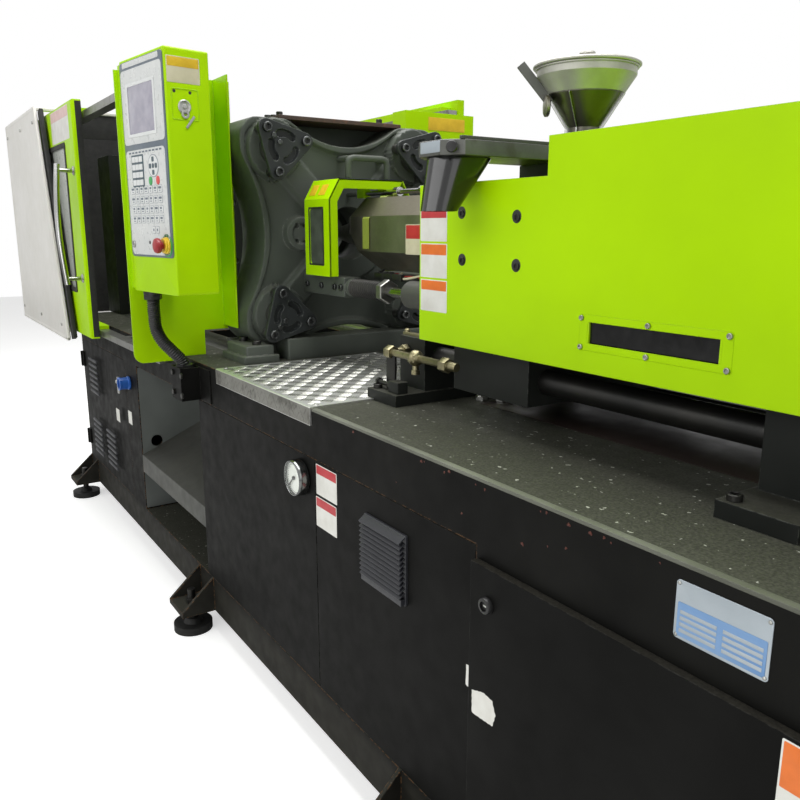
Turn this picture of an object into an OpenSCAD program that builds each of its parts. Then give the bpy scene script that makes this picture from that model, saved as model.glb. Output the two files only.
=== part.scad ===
// Injection moulding machine with a horizontal clamp, drawn at real size in millimetres.
// X runs along the machine towards the injection end, Y across it, Z up from the floor.

/* [Bed] */
// Half of the bed's width
bed_half = 491; // [485:1:500]
// Height of the bed's top above the floor
bed_z = 861; // [855:1:868]
// Clamp end of the bed
bed_x0 = -1717; // [-1740:1:-1700]
// Injection end of the bed
bed_x1 = 2340; // [2300:5:2380]
// Underside of the skid
skid_z0 = 72; // [68:1:76]
// Top of the skid's floor
skid_z1 = 183; // [175:1:190]
// Underside of the bed's deck
apron_z = 747; // [740:1:755]
// Clamp side of the part-drop bay
bay_x0 = -794; // [-810:1:-780]
// Injection side of the part-drop bay
bay_x1 = -108; // [-115:1:-100]
// Seam between the front panel and the vent panel
seam_x = 647; // [642:1:660]
// Injection end of the vent panel
tank_x1 = 1216; // [1205:1:1225]
// Thickness of the bed's walls
wall_t = 12; // [10:1:16]

/* [Feet] */
// Radius of a levelling pad
pad_r = 60; // [55:1:64]
// Distance of a levelling stud from the bed's side
stud_off = 52; // [48:1:58]
// Radius of a levelling stud
stud_r = 12; // [10:0.5:13]

/* [Clamp] */
// Gap between the bed's top and the underside of a platen
plat_up = 43; // [40:1:46]
// Spacing of the tie bars, centre to centre
tie_pitch = 485; // [480:1:490]
// Diameter of a tie bar
tie_d = 75; // [70:1:80]
// Width of a platen
plat_w = 692; // [688:1:700]
// Height of a platen
plat_h = 660; // [656:1:666]
// Depth of the fixed platen along X
plat_t = 230; // [225:1:236]
// Mould face of the moving platen when open
open_x = -990; // [-1000:1:-980]
// Thickness of the moving platen
move_t = 200; // [190:1:210]
// Mould side of the cylinder platen
tail_x1 = -1560; // [-1570:1:-1550]
// Thickness of the cylinder platen
tail_t = 200; // [190:1:210]
// Radius of the clamp ram
ram_r = 90; // [85:1:95]
// Radius of the locating bore
loc_r = 62.5; // [60:0.5:65]

/* [Guards] */
// Outer face of the clamp covers from the bed's side
cover_off = 149; // [147:1:154]
// Clamp end of the clamp covers
cover_x0 = -2340; // [-2360:5:-2320]
// Depth of the clamp covers below the bed's top
cover_low = 59; // [55:1:63]
// Height of the clamp covers
cover_h = 937; // [930:1:948]
// Outer face of a safety gate from the bed's side
gate_off = 109; // [107:1:113]
// Closing edge of the front gate when open
gate_x1 = -978; // [-985:1:-970]
// Height of a safety gate
gate_h = 867; // [859:1:874]
// Height of a post sheet above a platen
post_up = 116; // [106:1:126]

/* [Panel] */
// Width of the operator panel
pan_w = 280; // [275:1:290]
// Depth of the operator panel
pan_d = 122; // [115:1:126]
// Underside of the operator panel
pan_z0 = 1071; // [1065:1:1080]
// Top of the operator panel
pan_z1 = 1698; // [1690:1:1705]
// Turn of the operator panel towards the injection end in degrees
pan_turn = 8; // [7:0.5:9]

/* [Injection] */
// Half of the injection cover's width
icov_y = 290; // [287:1:296]
// Clamp end of the injection cover
icov_x0 = 763; // [755:1:770]
// Injection end of the injection cover
icov_x1 = 2040; // [2030:1:2060]
// Depth of the injection cover below the machine axis
icov_low = 219; // [212:1:222]
// Height of the injection cover
icov_h = 386; // [381:1:393]
// Axis of the feed throat
throat_x = 937; // [932:1:942]
// Radius of the screw
screw_r = 21; // [19:0.5:23]
// Radius of the barrel
barrel_r = 52; // [48:1:56]
// Half of the barrel cover's width
bcov_r = 100; // [96:1:104]
// Radius of a guide bar
gbar_r = 25; // [22:0.5:28]
// Height of the guide bars above the bed's top
gbar_up = 99; // [94:1:104]
// Depth of the carriage cylinders below the machine axis
ccyl_low = 149; // [146:1:152]
// Widest radius of the hopper
hop_r = 100; // [95:1:110]
// Height of the hopper from its neck to its rim
hop_h = 115; // [112:1:130]

/* [Hidden] */
$fn = 48;
clr = 0.3;
run = 0.06;
axis_z = bed_z + plat_up + plat_h / 2;
over = 1;
gap = 1.5;
panel_t = 20;
lap = 14;
strip_x0 = -960;
door_gap = 4;
door_end = 150;
door_up = 10;
door_low = 22;
door_x0 = tank_x1 + door_gap;
door_x1 = bed_x1 - door_end;
door_z0 = skid_z1 + door_up;
door_z1 = apron_z - door_low;
door_t = 14;
drop_half = 215;
drop_in = 24;
hole_r = 22;
hole_in = 58;
hole_y = -bed_half + hole_in;
hole_z = 451;
foot_in0 = 60;
foot_x1 = -130;
foot_x2 = 1050;
foot_in3 = 100;
feet_x = [bed_x0 + foot_in0, foot_x1, foot_x2, bed_x1 - foot_in3];
fb_w = 130;
fb_d = 104;
fb_t = 16;
gus_t = 10;
pad_h = 24;
pad_neck = 14;
neck_r = 30;
nut_h = 16;
nut_fr = 20;
stud_up = 46;
tread_t = 4;
tread_x0 = 59;
tread_x1 = 636;
tread_y1 = 35;
tread_lip = 38;
gauge_x = 583;
gauge_low = 56;
gauge_z = apron_z - gauge_low;
gauge_r = 43;
gauge_d = 28;
cup_r = 38;
cup_d = 9;
pin_r = 1.5;
pin_l = 5;
hub_r = 4.5;
hand_t = 1.6;
hand_w = 2.4;
hand_l = 31;
vent_in = 219;
vent_w = 151;
vent_low = 196;
vent_h = 142;
vent_x0 = seam_x + vent_in;
vent_x1 = vent_x0 + vent_w;
vent_z0 = apron_z - vent_low;
vent_z1 = vent_z0 + vent_h;
vent_d = 20;
vent_rim = 10;
slats = 11;
slat_t = 4;
lock_in = 44;
lock_low = 61;
lock_x = door_x0 + lock_in;
lock_z = door_z1 - lock_low;
lock_r = 14;
lock_d = 9;
lock_pin_r = 7;
sock_in = 55;
sock_low = 82;
sock_x = strip_x0 + sock_in;
sock_z = apron_z - sock_low;
sock_r = 24;
sock_d = 42;
edoor_x0 = bed_x0 + wall_t + clr;
hin_r = 7;
hin_w = 26;
hin_l = 70;
hin_in = 60;
eplate_in = 70;
eplate_t = 20;
dev = [150, 90, 110];
dev_gap = 60;
chute_t = 5;
chute_z0 = 402;
chute_lip = 67;
chute_y1 = 220;
chute_z1 = 714.84;
motor_r = 130;
motor_z = 360;
motor_l = 420;
pump_r = 85;
pump_l = 220;
mfoot_w = 200;
mfoot_x = 60;
mfoot_l = 300;
motor_in = 150;

rib_d = 70;
rib_w = 84;
rib_x = -48;
ring_x = -44;
nut_l = 40;
nut_r = 52;
boss_r = 86;
ring_r = 147;
side_r = 420;
waist = 66;
waist_low = 40;
waist_top = 70;
top_r = 300;
sole_half = 250;
backing_y = 250;
backing_h = 100;
backing_t = 40;
sole_x = 20;
sole_h = 64;
blk_y0 = 283;
blk_w = 112;
blk_h = 22;
blk_in = 12;
blk_top = 51;
blk_back = -150;
blk_x = 30;
disc_y = 162;
disc_r = 51;
disc_x = -56;
pfoot_w = 150;
pbore_r = 80;
loc_d = 40;
mould_sp = 350;
mould_sq = 140;
mould_hr = 7;
mould_hd = 45;
ret_t = 14;
ret_rad = 72;
ret_cr = 24;
rb_r = 9;
rb_head = 13;
rb_hh = 13;
rb_sleeve = 14;
tplate_w = 430;
tplate_t = 12;
bail_y = 55;
bail_half = 70;
bail_r = 10;
bail_up = 166;
bail_h = 60;
bail_z0 = axis_z + bail_up;
bail_z1 = bail_z0 + bail_h;
bail_stand = 24;
shoe_w = 90;
tail_x0 = tail_x1 - tail_t;
tie_tail = 30;
cyl_r = 130;
cyl_back = 500;
cyl_cap = 60;
ram_back = 390;
ram_x0 = tail_x0 - ram_back;
ej_back = 110;
ej_t = 20;
ej_half = 150;
ej_pitch = 118;
ej_r = 12;
ej_under = 10;

sheet_t = 4;
post_y0 = 303;
land_d = 0.6;
land_gap = 3;
land_y = post_y0 - land_gap;
post_x1 = -plat_t + land_d;
post_x0 = post_x1 - sheet_t;
cut_lo = 1103;
cut_hi = 812;
cover_y = bed_half + cover_off;
cover_z0 = bed_z - cover_low;
cover_z1 = cover_z0 + cover_h;
gate_y = bed_half + gate_off;
gate_low = 25;
gate_z0 = bed_z - gate_low;
gate_z1 = gate_z0 + gate_h;
rail_off = 34;
rail_w = 40;
rail_y0 = bed_half + rail_off;
rail_y1 = rail_y0 + rail_w;
rail_low = 19;
rail_h = 22;
lrail_z0 = bed_z - rail_low;
lrail_z1 = lrail_z0 + rail_h;
urail_low = 63;
urail_h = 25;
urail_z0 = gate_z1 - urail_low;
urail_z1 = urail_z0 + urail_h;
gate_t = 30;
gate_wl = 1010;
gate_wh = 1310;
shoe_h = 15;
shoe_l = 160;
gshoe_in = 40;
gshoe_far = 880;
win_in = 190;
win_w = 640;
win_low = 174;
win_h = 550;
win_z0 = gate_z0 + win_low;
win_z1 = win_z0 + win_h;
win_t = 5;
grip_r = 11;
grip_out = 72;
grip_x = 62;
grip_up = 204;
grip_l = 440;
grip_z0 = gate_z0 + grip_up;
grip_z1 = grip_z0 + grip_l;
brk_a = 27;
brk_b = 517;
brk_c = 917;
brk_x = [bed_x0 + brk_a, bed_x0 + brk_b, bed_x0 + brk_c];
brk_w = 40;
post_in = 73;
post_yb = bed_half - post_in;
post_foot = 77;
post_zb = bed_z + post_foot;
post_drop = 11;
post_low = bed_z - post_drop;
post_z1 = axis_z + plat_h / 2 + post_up;
post_r = 30;
post_fl = 108;
post_gap = 3;
post_fz = 89;
rpost_y0 = 340;
rpost_low = 30;
rpost_d = 78;
rpost_h = 60;

pan_x = -212;
pan_in = 12;
pan_y = -cover_y + pan_in;
face_in = 8;
face_up = 100;
face_z0 = pan_z0 + face_up;
face_t = 3;
es_x = 240;
es_up = 133;
es_z = pan_z0 + es_up;
es_col = 20;
es_colh = 14;
es_pin = 9;
es_cap = 20;
es_caph = 15;
es_gap = 8;
hb_x0 = -160;
hb_w = 86;
hb_ear = 80;
hb_up = 5;
hb_low = 11;
hb_x1 = hb_x0 + hb_w;
hb_x2 = hb_x1 + hb_ear;
hb_d = 62;
hb_z0 = apron_z + hb_up;
hb_z1 = bed_z - hb_low;
hose_r = 17;
hose_n = 16;
hose = [[-167, -590, pan_z0 - clr], [-167, -590, 1010], [-163, -588, 960], [-146, -577, 925],
    [-126, -556, 896], [-118, -534, 868], [-117, -525, 836], [-117, -524, 800]];

icov_z0 = axis_z - icov_low;
icov_z1 = icov_z0 + icov_h;
gbar_z = bed_z + gbar_up;
ccyl_z = axis_z - ccyl_low;
seat_t = 26;
seat_y = 330;
seat1_x0 = 610;
seat2_x0 = 1530;
seat3_x0 = 2170;
seat_l = 120;
seat_cap = 20;
gbar_y = 200;
gbar_end = 10;
hous_x0 = 836;
hous_l = 230;
hous_x1 = hous_x0 + hous_l;
hous_y = 250;
hous_up = 54;
hous_z0 = bed_z + hous_up;
hous_top = 92;
hous_z1 = axis_z + hous_top;
arm_in = 84;
arm_l = 50;
arm_up = 35;
arm_h = 40;
arm_x0 = hous_x0 + arm_in;
arm_x1 = arm_x0 + arm_l;
arm_z0 = icov_z0 + arm_up;
arm_z1 = arm_z0 + arm_h;
riser_x = 70;
riser_y = 110;
slide_t = 28;
slide_up = 50;
slide_z = hous_z1 + slide_up;
slide_w = 130;
slide_ch = 32;
slide_y0 = -392;
slide_y1 = 130;
drain_y = -343;
throat_r = 30;
tip_x = -130;
noz_x = 60;
noz_r = 24;
tip_r = 12;
bar_out = 40;
bar_x1 = hous_x1 + bar_out;
scr_clr = 0.08;
scr_tip = 60;
bcov_x0 = 140;
bcov_t = 2;
bcov_cut = 85;
oct = 0.48;
ccyl_y = 130;
ccyl_r = 35;
ccyl_x0 = 500;
crod_r = 14;
crod_x1 = 715;
cblk_l = 250;
cblk_h = 28;
icyl_y = 165;
icyl_r = 48;
icyl_l = 300;
irod_r = 22;
iplate_x0 = 1440;
iplate_t = 90;
iplate_h = 130;
hmot_r = 95;
hmot_l = 260;
hmot_h = 70;
hmot_port = 24;
istep_x = 1138;
istep_low = 65;
istep_z = icov_z1 - istep_low;
hatch = 90;
wnd_in = 110;
wnd_w = 242;
wnd_up = 45;
wnd_h = 44;
wnd_x0 = istep_x + wnd_in;
wnd_x1 = wnd_x0 + wnd_w;
wnd_z0 = icov_z0 + wnd_up;
wnd_z1 = wnd_z0 + wnd_h;
wnd_t = 6;
wnd_lap = 12;
base_h = 14;
hop_neck = 32;
hop_up = 47;
hop_z0 = slide_z + slide_t + hop_up;
hop_z1 = hop_z0 + hop_h;
hop_slope = 0.69;
hop_t = 3;
lid_t = 8;
lid_up = 24;
lid_over = 8;
lid_kr = 6;
lid_kl = 60;
spout_r0 = 44;
spout_r1 = 34;
spout_long = 40;
spout_side = 8;
spout_l = 96;
spout_z0 = slide_z - spout_l;
spout_out = 32;
spout_t = 3;
pg_y = 188;
pg_yr = 89;
pg_x0 = 26;
pg_x1 = 178;
pg_low0 = 119;
pg_h = 269;
pg_z0 = axis_z - pg_low0;
pg_z1 = pg_z0 + pg_h;
pg_cy = 32;
pg_cz = 55;
pg_rear = 60;
pg_low_share = 0.27;
pg_top_share = 0.575;
pg_t = 3;
pg_lip = 26;
pgw_in0 = 30;
pgw_in1 = 39;
pgw_up = 33;
pgw_h = 157;
pgw_z0 = pg_z0 + pgw_up;
pgw_z1 = pgw_z0 + pgw_h;
pgw_lap = 12;
pgw_t = 4;
srod_up = 116;
srod_z = axis_z + srod_up;
srod_r = 7;
srod_x1 = 600;
snut_r = 13;
snut_l = 22;
snut_x1 = 228;
snut_x2 = 356;
snut_at = [snut_x1, snut_x2];
hang_in = 4;
hang_x = pg_x0 + hang_in;
hang_l = 40;
hang_w = 24;
pf_y = -292;
pf_up = 111;
pf_z = bed_z + pf_up;
pf_x0 = 625;
pf_x1 = 900;
pf_r = 8;
pf_nut = 14;
pf_nl = 24;
pf_a = 15;
pf_b = 115;
pf_c = 225;
pf_at = [pf_x0 + pf_a, pf_x0 + pf_b, pf_x0 + pf_c];
pf_br = 36;
pf_bt = 5;

// Box between two corners
module bx(a, b) translate(a) cube(b - a);

// Round bar along X, Y and Z
module cx(x0, x1, y, z, r) translate([x0, y, z]) rotate([0, 90, 0]) cylinder(h = x1 - x0, r = r);
module cy(y0, y1, x, z, r) translate([x, y0, z]) rotate([-90, 0, 0]) cylinder(h = y1 - y0, r = r);
module cz(z0, z1, x, y, r) translate([x, y, z0]) cylinder(h = z1 - z0, r = r);

// Prism along X from points in Y and Z, and along Y from points in X and Z
module prx(x0, x1, p) translate([x0, 0, 0]) rotate([90, 0, 90]) linear_extrude(x1 - x0) polygon(p);
module pry(y0, y1, p) translate([0, y1, 0]) rotate([90, 0, 0]) linear_extrude(y1 - y0) polygon(p);

// A piece and its mirror image across the machine axis
module both() {
  children();
  mirror([0, 1, 0]) children();
}

// A piece at each tie bar
module at_ties() {
  for (sy = [-1, 1], sz = [-1, 1])
    translate([0, sy * tie_pitch / 2, axis_z + sz * tie_pitch / 2]) children();
}

module foot_bracket(x) {
  bx([x - fb_w / 2, -bed_half - fb_d, skid_z0], [x + fb_w / 2, -bed_half + over, skid_z0 + fb_t]);
  for (g = [x - fb_w / 2, x + fb_w / 2 - gus_t]) prx(g, g + gus_t, [[-bed_half + over, skid_z0],
      [-bed_half + over, skid_z1], [-bed_half, skid_z1], [-bed_half - fb_d, skid_z0 + fb_t],
      [-bed_half - fb_d, skid_z0]]);
}

module bed_frame() color("#1d1d1b") difference() {
  union() {
    bx([bed_x0, -bed_half, skid_z0], [bed_x1, bed_half, skid_z1]);
    bx([bed_x0, -bed_half, apron_z], [bed_x1, bed_half, bed_z]);
    bx([bay_x1, -bed_half + panel_t, skid_z1], [tank_x1, bed_half, apron_z]);
    bx([bed_x0, bed_half - wall_t, skid_z1], [bed_x1, bed_half, apron_z]);
    bx([bed_x0, -bed_half, skid_z1], [bed_x0 + wall_t, bed_half, apron_z]);
    bx([bay_x0 - wall_t, -bed_half, skid_z1], [bay_x0, bed_half, apron_z]);
    bx([strip_x0, -bed_half, skid_z1], [bay_x0, -bed_half + wall_t, apron_z]);
    bx([bed_x1 - wall_t, -bed_half, skid_z1], [bed_x1, bed_half, apron_z]);
    difference() {
      bx([tank_x1, -bed_half, skid_z1], [bed_x1, -bed_half + wall_t, apron_z]);
      bx([door_x0 + lap, -bed_half - over, door_z0 + lap],
          [door_x1 - lap, -bed_half + wall_t + over, door_z1 - lap]);
    }
    for (x = feet_x) both() foot_bracket(x);
  }
  bx([bay_x0 + drop_in, -drop_half, apron_z - over], [-plat_t - drop_in, drop_half, bed_z + over]);
  cx(bay_x0 - wall_t - over, bay_x0 + over, hole_y, hole_z, hole_r);
  for (x = feet_x) both() cz(skid_z0 - over, skid_z0 + fb_t + over, x, -bed_half - stud_off, stud_r + clr);
}

module level_pads() color("#262624") for (x = feet_x) both() {
  cz(0, pad_h, x, -bed_half - stud_off, pad_r);
  translate([x, -bed_half - stud_off, pad_h]) cylinder(h = pad_neck, r1 = neck_r, r2 = nut_fr);
}

module level_studs() color("#4a4a48") for (x = feet_x) both() {
  cz(pad_h + pad_neck, skid_z0 + fb_t + stud_up, x, -bed_half - stud_off, stud_r);
  translate([x, -bed_half - stud_off, skid_z0 - nut_h]) cylinder(h = nut_h, r = nut_fr, $fn = 6);
  translate([x, -bed_half - stud_off, skid_z0 + fb_t]) cylinder(h = nut_h, r = nut_fr, $fn = 6);
}

module tread_plate() color("#b9b9b4") {
  bx([tread_x0, -bed_half - tread_t, bed_z], [tread_x1, tread_y1, bed_z + tread_t]);
  bx([tread_x0, -bed_half - tread_t, bed_z - tread_lip], [tread_x1, -bed_half, bed_z + tread_t]);
}

module front_panel() color("#1f1f1d")
  bx([bay_x1, -bed_half, skid_z1 + gap], [seam_x - gap, -bed_half + panel_t, apron_z - gap]);

module vent_panel() color("#1f1f1d")
  bx([seam_x + gap, -bed_half, skid_z1 + gap], [tank_x1 - gap, -bed_half + panel_t, apron_z - gap]);

module vent_grille() color("#2b2b2a") {
  difference() {
    bx([vent_x0, -bed_half - vent_d, vent_z0], [vent_x1, -bed_half, vent_z1]);
    bx([vent_x0 + vent_rim, -bed_half - vent_d - over, vent_z0 + vent_rim],
        [vent_x1 - vent_rim, -bed_half - slat_t, vent_z1 - vent_rim]);
  }
  for (i = [1 : slats]) let (z = vent_z0 + vent_rim + i * (vent_z1 - vent_z0 - 2 * vent_rim) / (slats + 1))
    bx([vent_x0 + vent_rim, -bed_half - vent_d + slat_t, z - slat_t / 2],
        [vent_x1 - vent_rim, -bed_half - slat_t, z + slat_t / 2]);
}

module pressure_gauge() color("#c9c9c4") {
  difference() {
    cy(-bed_half - gauge_d, -bed_half, gauge_x, gauge_z, gauge_r);
    cy(-bed_half - gauge_d - over, -bed_half - gauge_d + cup_d, gauge_x, gauge_z, cup_r);
  }
  cy(-bed_half - gauge_d + cup_d - pin_l, -bed_half - gauge_d + cup_d, gauge_x, gauge_z, pin_r);
}

module gauge_needle() color("#111111") translate([gauge_x, -bed_half - gauge_d + cup_d - pin_l, gauge_z])
  difference() {
    union() {
      cy(0, hand_t * 2, 0, 0, hub_r);
      rotate([0, 135, 0]) bx([-hub_r, 0, -hand_w / 2], [hand_l, hand_t, hand_w / 2]);
    }
    cy(-over, hand_t * 2 + over, 0, 0, pin_r + run);
  }

module pump_door() color("#1f1f1d") difference() {
  union() {
    bx([door_x0, -bed_half - door_t, door_z0], [door_x1 - door_t / 2, -bed_half, door_z1]);
    cz(door_z0, door_z1, door_x1 - door_t / 2, -bed_half - door_t / 2, door_t / 2 - clr);
  }
  cy(-bed_half - door_t - over, -bed_half + over, lock_x, lock_z, lock_pin_r + run);
}

module door_lock() color("#8a8a86") {
  cy(-bed_half - door_t - lock_d, -bed_half - door_t, lock_x, lock_z, lock_r);
  cy(-bed_half - door_t - lock_d, -bed_half, lock_x, lock_z, lock_pin_r);
}

module elec_door() color("#1f1f1d") {
  bx([edoor_x0, -bed_half, skid_z1 + gap], [strip_x0 - gap, -bed_half + wall_t, apron_z - gap]);
  for (z = [skid_z1 + hin_in, apron_z - hin_in - hin_l]) {
    cz(z, z + hin_l, edoor_x0, -bed_half - hin_r - clr, hin_r);
    bx([edoor_x0, -bed_half - hin_r - clr, z], [edoor_x0 + hin_w, -bed_half + over, z + hin_l]);
  }
}

module power_socket() color("#2f6fc4") {
  cy(-bed_half - sock_d, -bed_half, sock_x, sock_z, sock_r);
}

module elec_plate() color("#b8b8b2") {
  bx([bed_x0 + eplate_in, bed_half - wall_t - eplate_t, skid_z1 + eplate_in],
      [bay_x0 - eplate_in, bed_half - wall_t, apron_z - eplate_in]);
  for (i = [0 : 2], j = [0 : 1]) translate([bed_x0 + 2 * eplate_in + i * (dev.x + dev_gap),
      bed_half - wall_t - eplate_t - dev.y, skid_z1 + 2 * eplate_in + j * (dev.z + dev_gap)])
    cube(dev + [0, over, 0]);
}

module drop_chute() color("#2e2f2d") prx(bay_x0, bay_x1, [[-bed_half, chute_z0], [chute_y1, chute_z1],
    [chute_y1, apron_z], [chute_y1 + chute_t, apron_z], [chute_y1 + chute_t, chute_z1 - chute_t],
    [-bed_half + chute_t, chute_z0 - chute_t], [-bed_half + chute_t, chute_z0 - chute_lip],
    [-bed_half, chute_z0 - chute_lip]]);

module pump_unit() color("#5d6a6e") {
  cx(tank_x1 + motor_in, tank_x1 + motor_in + motor_l, 0, motor_z, motor_r);
  cx(tank_x1 + motor_in + motor_l, tank_x1 + motor_in + motor_l + pump_l, 0, motor_z, pump_r);
  bx([tank_x1 + motor_in + mfoot_x, -mfoot_w / 2, skid_z1],
      [tank_x1 + motor_in + mfoot_x + mfoot_l, mfoot_w / 2, motor_z]);
}

module mould_holes(x0, x1) {
  for (sy = [-1, 1], sz = [-1, 1]) {
    cx(x0, x1, sy * mould_sp / 2, axis_z + sz * mould_sp / 2, mould_hr);
    cx(x0, x1, sy * mould_sp / 2, axis_z + sz * mould_sq / 2, mould_hr);
  }
}

module fixed_platen() color("#1a1a19") difference() {
  union() {
    difference() {
      bx([-plat_t, -plat_w / 2, axis_z - plat_h / 2], [-rib_d, plat_w / 2, axis_z + plat_h / 2]);
      both() cx(-plat_t - over, over, -plat_w / 2 + waist - side_r, axis_z, side_r);
      cx(-plat_t - over, over, 0, axis_z - plat_h / 2 + waist_low - side_r, side_r);
      cx(-plat_t - over, over, 0, axis_z + plat_h / 2 - waist_top + top_r, top_r);
    }
    at_ties() cx(-rib_d - 3 * over, -nut_l, 0, 0, boss_r);
    for (a = [45, 135]) translate([-rib_d - over, 0, axis_z]) rotate([a, 0, 0])
      translate([0, -rib_w / 2, -tie_pitch / sqrt(2)])
        cube([rib_x + rib_d + over, rib_w, tie_pitch * sqrt(2)]);
    cx(-rib_d - 2 * over, ring_x, 0, axis_z, ring_r);
    bx([-plat_t, -backing_y, axis_z + plat_h / 2 - backing_h],
        [-plat_t + backing_t, backing_y, axis_z + plat_h / 2]);
    bx([-rib_d - over, -sole_half, bed_z], [sole_x, sole_half, bed_z + sole_h]);
    both() {
      bx([-plat_t, -plat_w / 2, bed_z], [-rib_d, -plat_w / 2 + pfoot_w, axis_z - plat_h / 2 + over]);
      bx([blk_back, -blk_y0 - blk_w, bed_z], [blk_x, -blk_y0, bed_z + blk_h]);
      bx([blk_back + blk_in, -blk_y0 - blk_w + blk_in, bed_z],
          [blk_x - blk_in, -blk_y0 - blk_in, bed_z + blk_top]);
      cx(-rib_d - 4 * over, disc_x, -disc_y, axis_z, disc_r);
    }
  }
  at_ties() cx(-plat_t - over, over, 0, 0, tie_d / 2 + clr);
  cx(-plat_t - over, -plat_t + loc_d, 0, axis_z, loc_r);
  cx(-plat_t + loc_d - over, over, 0, axis_z, pbore_r);
  mould_holes(-plat_t - over, -plat_t + mould_hd);
  both() bx([-plat_t - over, -plat_w / 2 - over, bed_z - over],
      [-plat_t + land_d, -land_y, axis_z + plat_h / 2 + over]);
}

module tie_bars() color("#c8c8c6") at_ties() cx(tail_x0 - nut_l - tie_tail, 0, 0, 0, tie_d / 2);

module tie_nuts() color("#6d6d6a") at_ties() {
  difference() {
    cx(-nut_l, 0, 0, 0, nut_r);
    cx(-nut_l - over, over, 0, 0, tie_d / 2 + clr);
  }
  difference() {
    cx(tail_x0 - nut_l, tail_x0, 0, 0, nut_r);
    cx(tail_x0 - nut_l - over, tail_x0 + over, 0, 0, tie_d / 2 + clr);
  }
}

module at_plates() {
  for (sy = [-1, 1], sz = [-1, 1]) translate([0, sy * tie_pitch / 2, axis_z + sz * tie_pitch / 2])
    mirror([0, sy < 0 ? 1 : 0, 0]) mirror([0, 0, sz < 0 ? 1 : 0]) children();
}

module retainer_plates() color("#232321") at_plates() difference() {
  hull() for (k = [0 : 2]) rotate([45 + k * 120, 0, 0]) cx(0, ret_t, ret_rad, 0, ret_cr);
  for (k = [0 : 2]) rotate([45 + k * 120, 0, 0]) cx(-over, ret_t + over, ret_rad, 0, rb_r + clr);
}

module retainer_bolts() color("#8f8f8b") at_plates() for (k = [0 : 2]) rotate([45 + k * 120, 0, 0]) {
  cx(-nut_l, 0, ret_rad, 0, rb_sleeve);
  cx(0, ret_t + over, ret_rad, 0, rb_r);
  cx(ret_t, ret_t + rb_hh, ret_rad, 0, rb_head);
}

module top_plate() color("#4a3a30")
  bx([-plat_t, -tplate_w / 2, axis_z + plat_h / 2], [-rib_d, tplate_w / 2, axis_z + plat_h / 2 + tplate_t]);

module lift_bail() color("#1a1a19") {
  for (y = [bail_y - bail_half, bail_y + bail_half]) {
    cz(bail_z0, bail_z1, -nut_l + bail_stand, y, bail_r);
    cx(-rib_d, -nut_l + bail_stand, y, bail_z1, bail_r);
  }
  cy(bail_y - bail_half, bail_y + bail_half, -nut_l + bail_stand, bail_z1, bail_r);
}

module moving_platen() color("#1a1a19") difference() {
  union() {
    bx([open_x - move_t, -plat_w / 2, axis_z - plat_h / 2], [open_x, plat_w / 2, axis_z + plat_h / 2]);
    both() bx([open_x - move_t, -plat_w / 2, bed_z + clr],
        [open_x, -plat_w / 2 + shoe_w, axis_z - plat_h / 2 + over]);
  }
  at_ties() cx(open_x - move_t - over, open_x + over, 0, 0, tie_d / 2 + run);
  for (s = [-1, 1]) {
    cx(open_x - move_t - over, open_x + over, s * ej_pitch, axis_z, ej_r + run);
    cx(open_x - move_t - over, open_x + over, 0, axis_z + s * ej_pitch, ej_r + run);
  }
  mould_holes(open_x - mould_hd, open_x + over);
}

module tail_platen() color("#1a1a19") difference() {
  union() {
    bx([tail_x0, -plat_w / 2, axis_z - plat_h / 2], [tail_x1, plat_w / 2, axis_z + plat_h / 2]);
    both() bx([tail_x0, -plat_w / 2, bed_z], [tail_x1, -plat_w / 2 + pfoot_w, axis_z - plat_h / 2 + over]);
  }
  at_ties() cx(tail_x0 - over, tail_x1 + over, 0, 0, tie_d / 2 + clr);
  cx(tail_x0 - over, tail_x1 + over, 0, axis_z, cyl_r + clr);
}

module clamp_cylinder() color("#3a3a38") difference() {
  union() {
    cx(tail_x0 - cyl_back, tail_x1, 0, axis_z, cyl_r);
    cx(tail_x0 - nut_l, tail_x0, 0, axis_z, cyl_r + nut_l);
  }
  cx(tail_x0 - cyl_back + cyl_cap, tail_x1 + over, 0, axis_z, ram_r + run);
}

module clamp_ram() color("#d2d2d0") cx(ram_x0, open_x - move_t, 0, axis_z, ram_r);

module ejector() color("#8f8f8b") {
  difference() {
    bx([open_x - move_t - ej_back, -ej_half, axis_z - ej_half],
        [open_x - move_t - ej_back + ej_t, ej_half, axis_z + ej_half]);
    cx(open_x - move_t - ej_back - over, open_x - move_t - ej_back + ej_t + over, 0, axis_z, ram_r + clr);
  }
  for (s = [-1, 1]) {
    cx(open_x - move_t - ej_back, open_x - ej_under, s * ej_pitch, axis_z, ej_r);
    cx(open_x - move_t - ej_back, open_x - ej_under, 0, axis_z + s * ej_pitch, ej_r);
  }
}

module gate_rails() color("#9a9a96") both() {
  bx([cover_x0 + sheet_t, -rail_y1, lrail_z0], [post_x0, -rail_y0, lrail_z1]);
  for (x = brk_x) bx([x, -rail_y0, lrail_z0], [x + brk_w, -bed_half, bed_z]);
  bx([cover_x0 + sheet_t, -rail_y1, urail_z0], [post_x0, -rail_y0, urail_z1]);
}

// Points of a gate whose closing edge is at x
function gate_pts(x) = [[x, gate_z0], [x, gate_z1], [x - gate_wh, gate_z1], [x - gate_wl, gate_z0]];

module gate_sheet(x) {
  difference() {
    pry(-gate_y, -gate_y + gate_t, gate_pts(x));
    bx([x - win_in - win_w, -gate_y - over, win_z0], [x - win_in, -gate_y + gate_t + over, win_z1]);
  }
  for (d = [gshoe_in, gshoe_far]) {
    bx([x - d - shoe_l, -gate_y + gate_t - over, lrail_z1 + clr], [x - d, -rail_y0, lrail_z1 + shoe_h]);
    bx([x - d - shoe_l, -gate_y + gate_t - over, urail_z1 + clr], [x - d, -rail_y0, urail_z1 + shoe_h]);
  }
}

module front_gate() color("#a6d400") gate_sheet(gate_x1);

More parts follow.
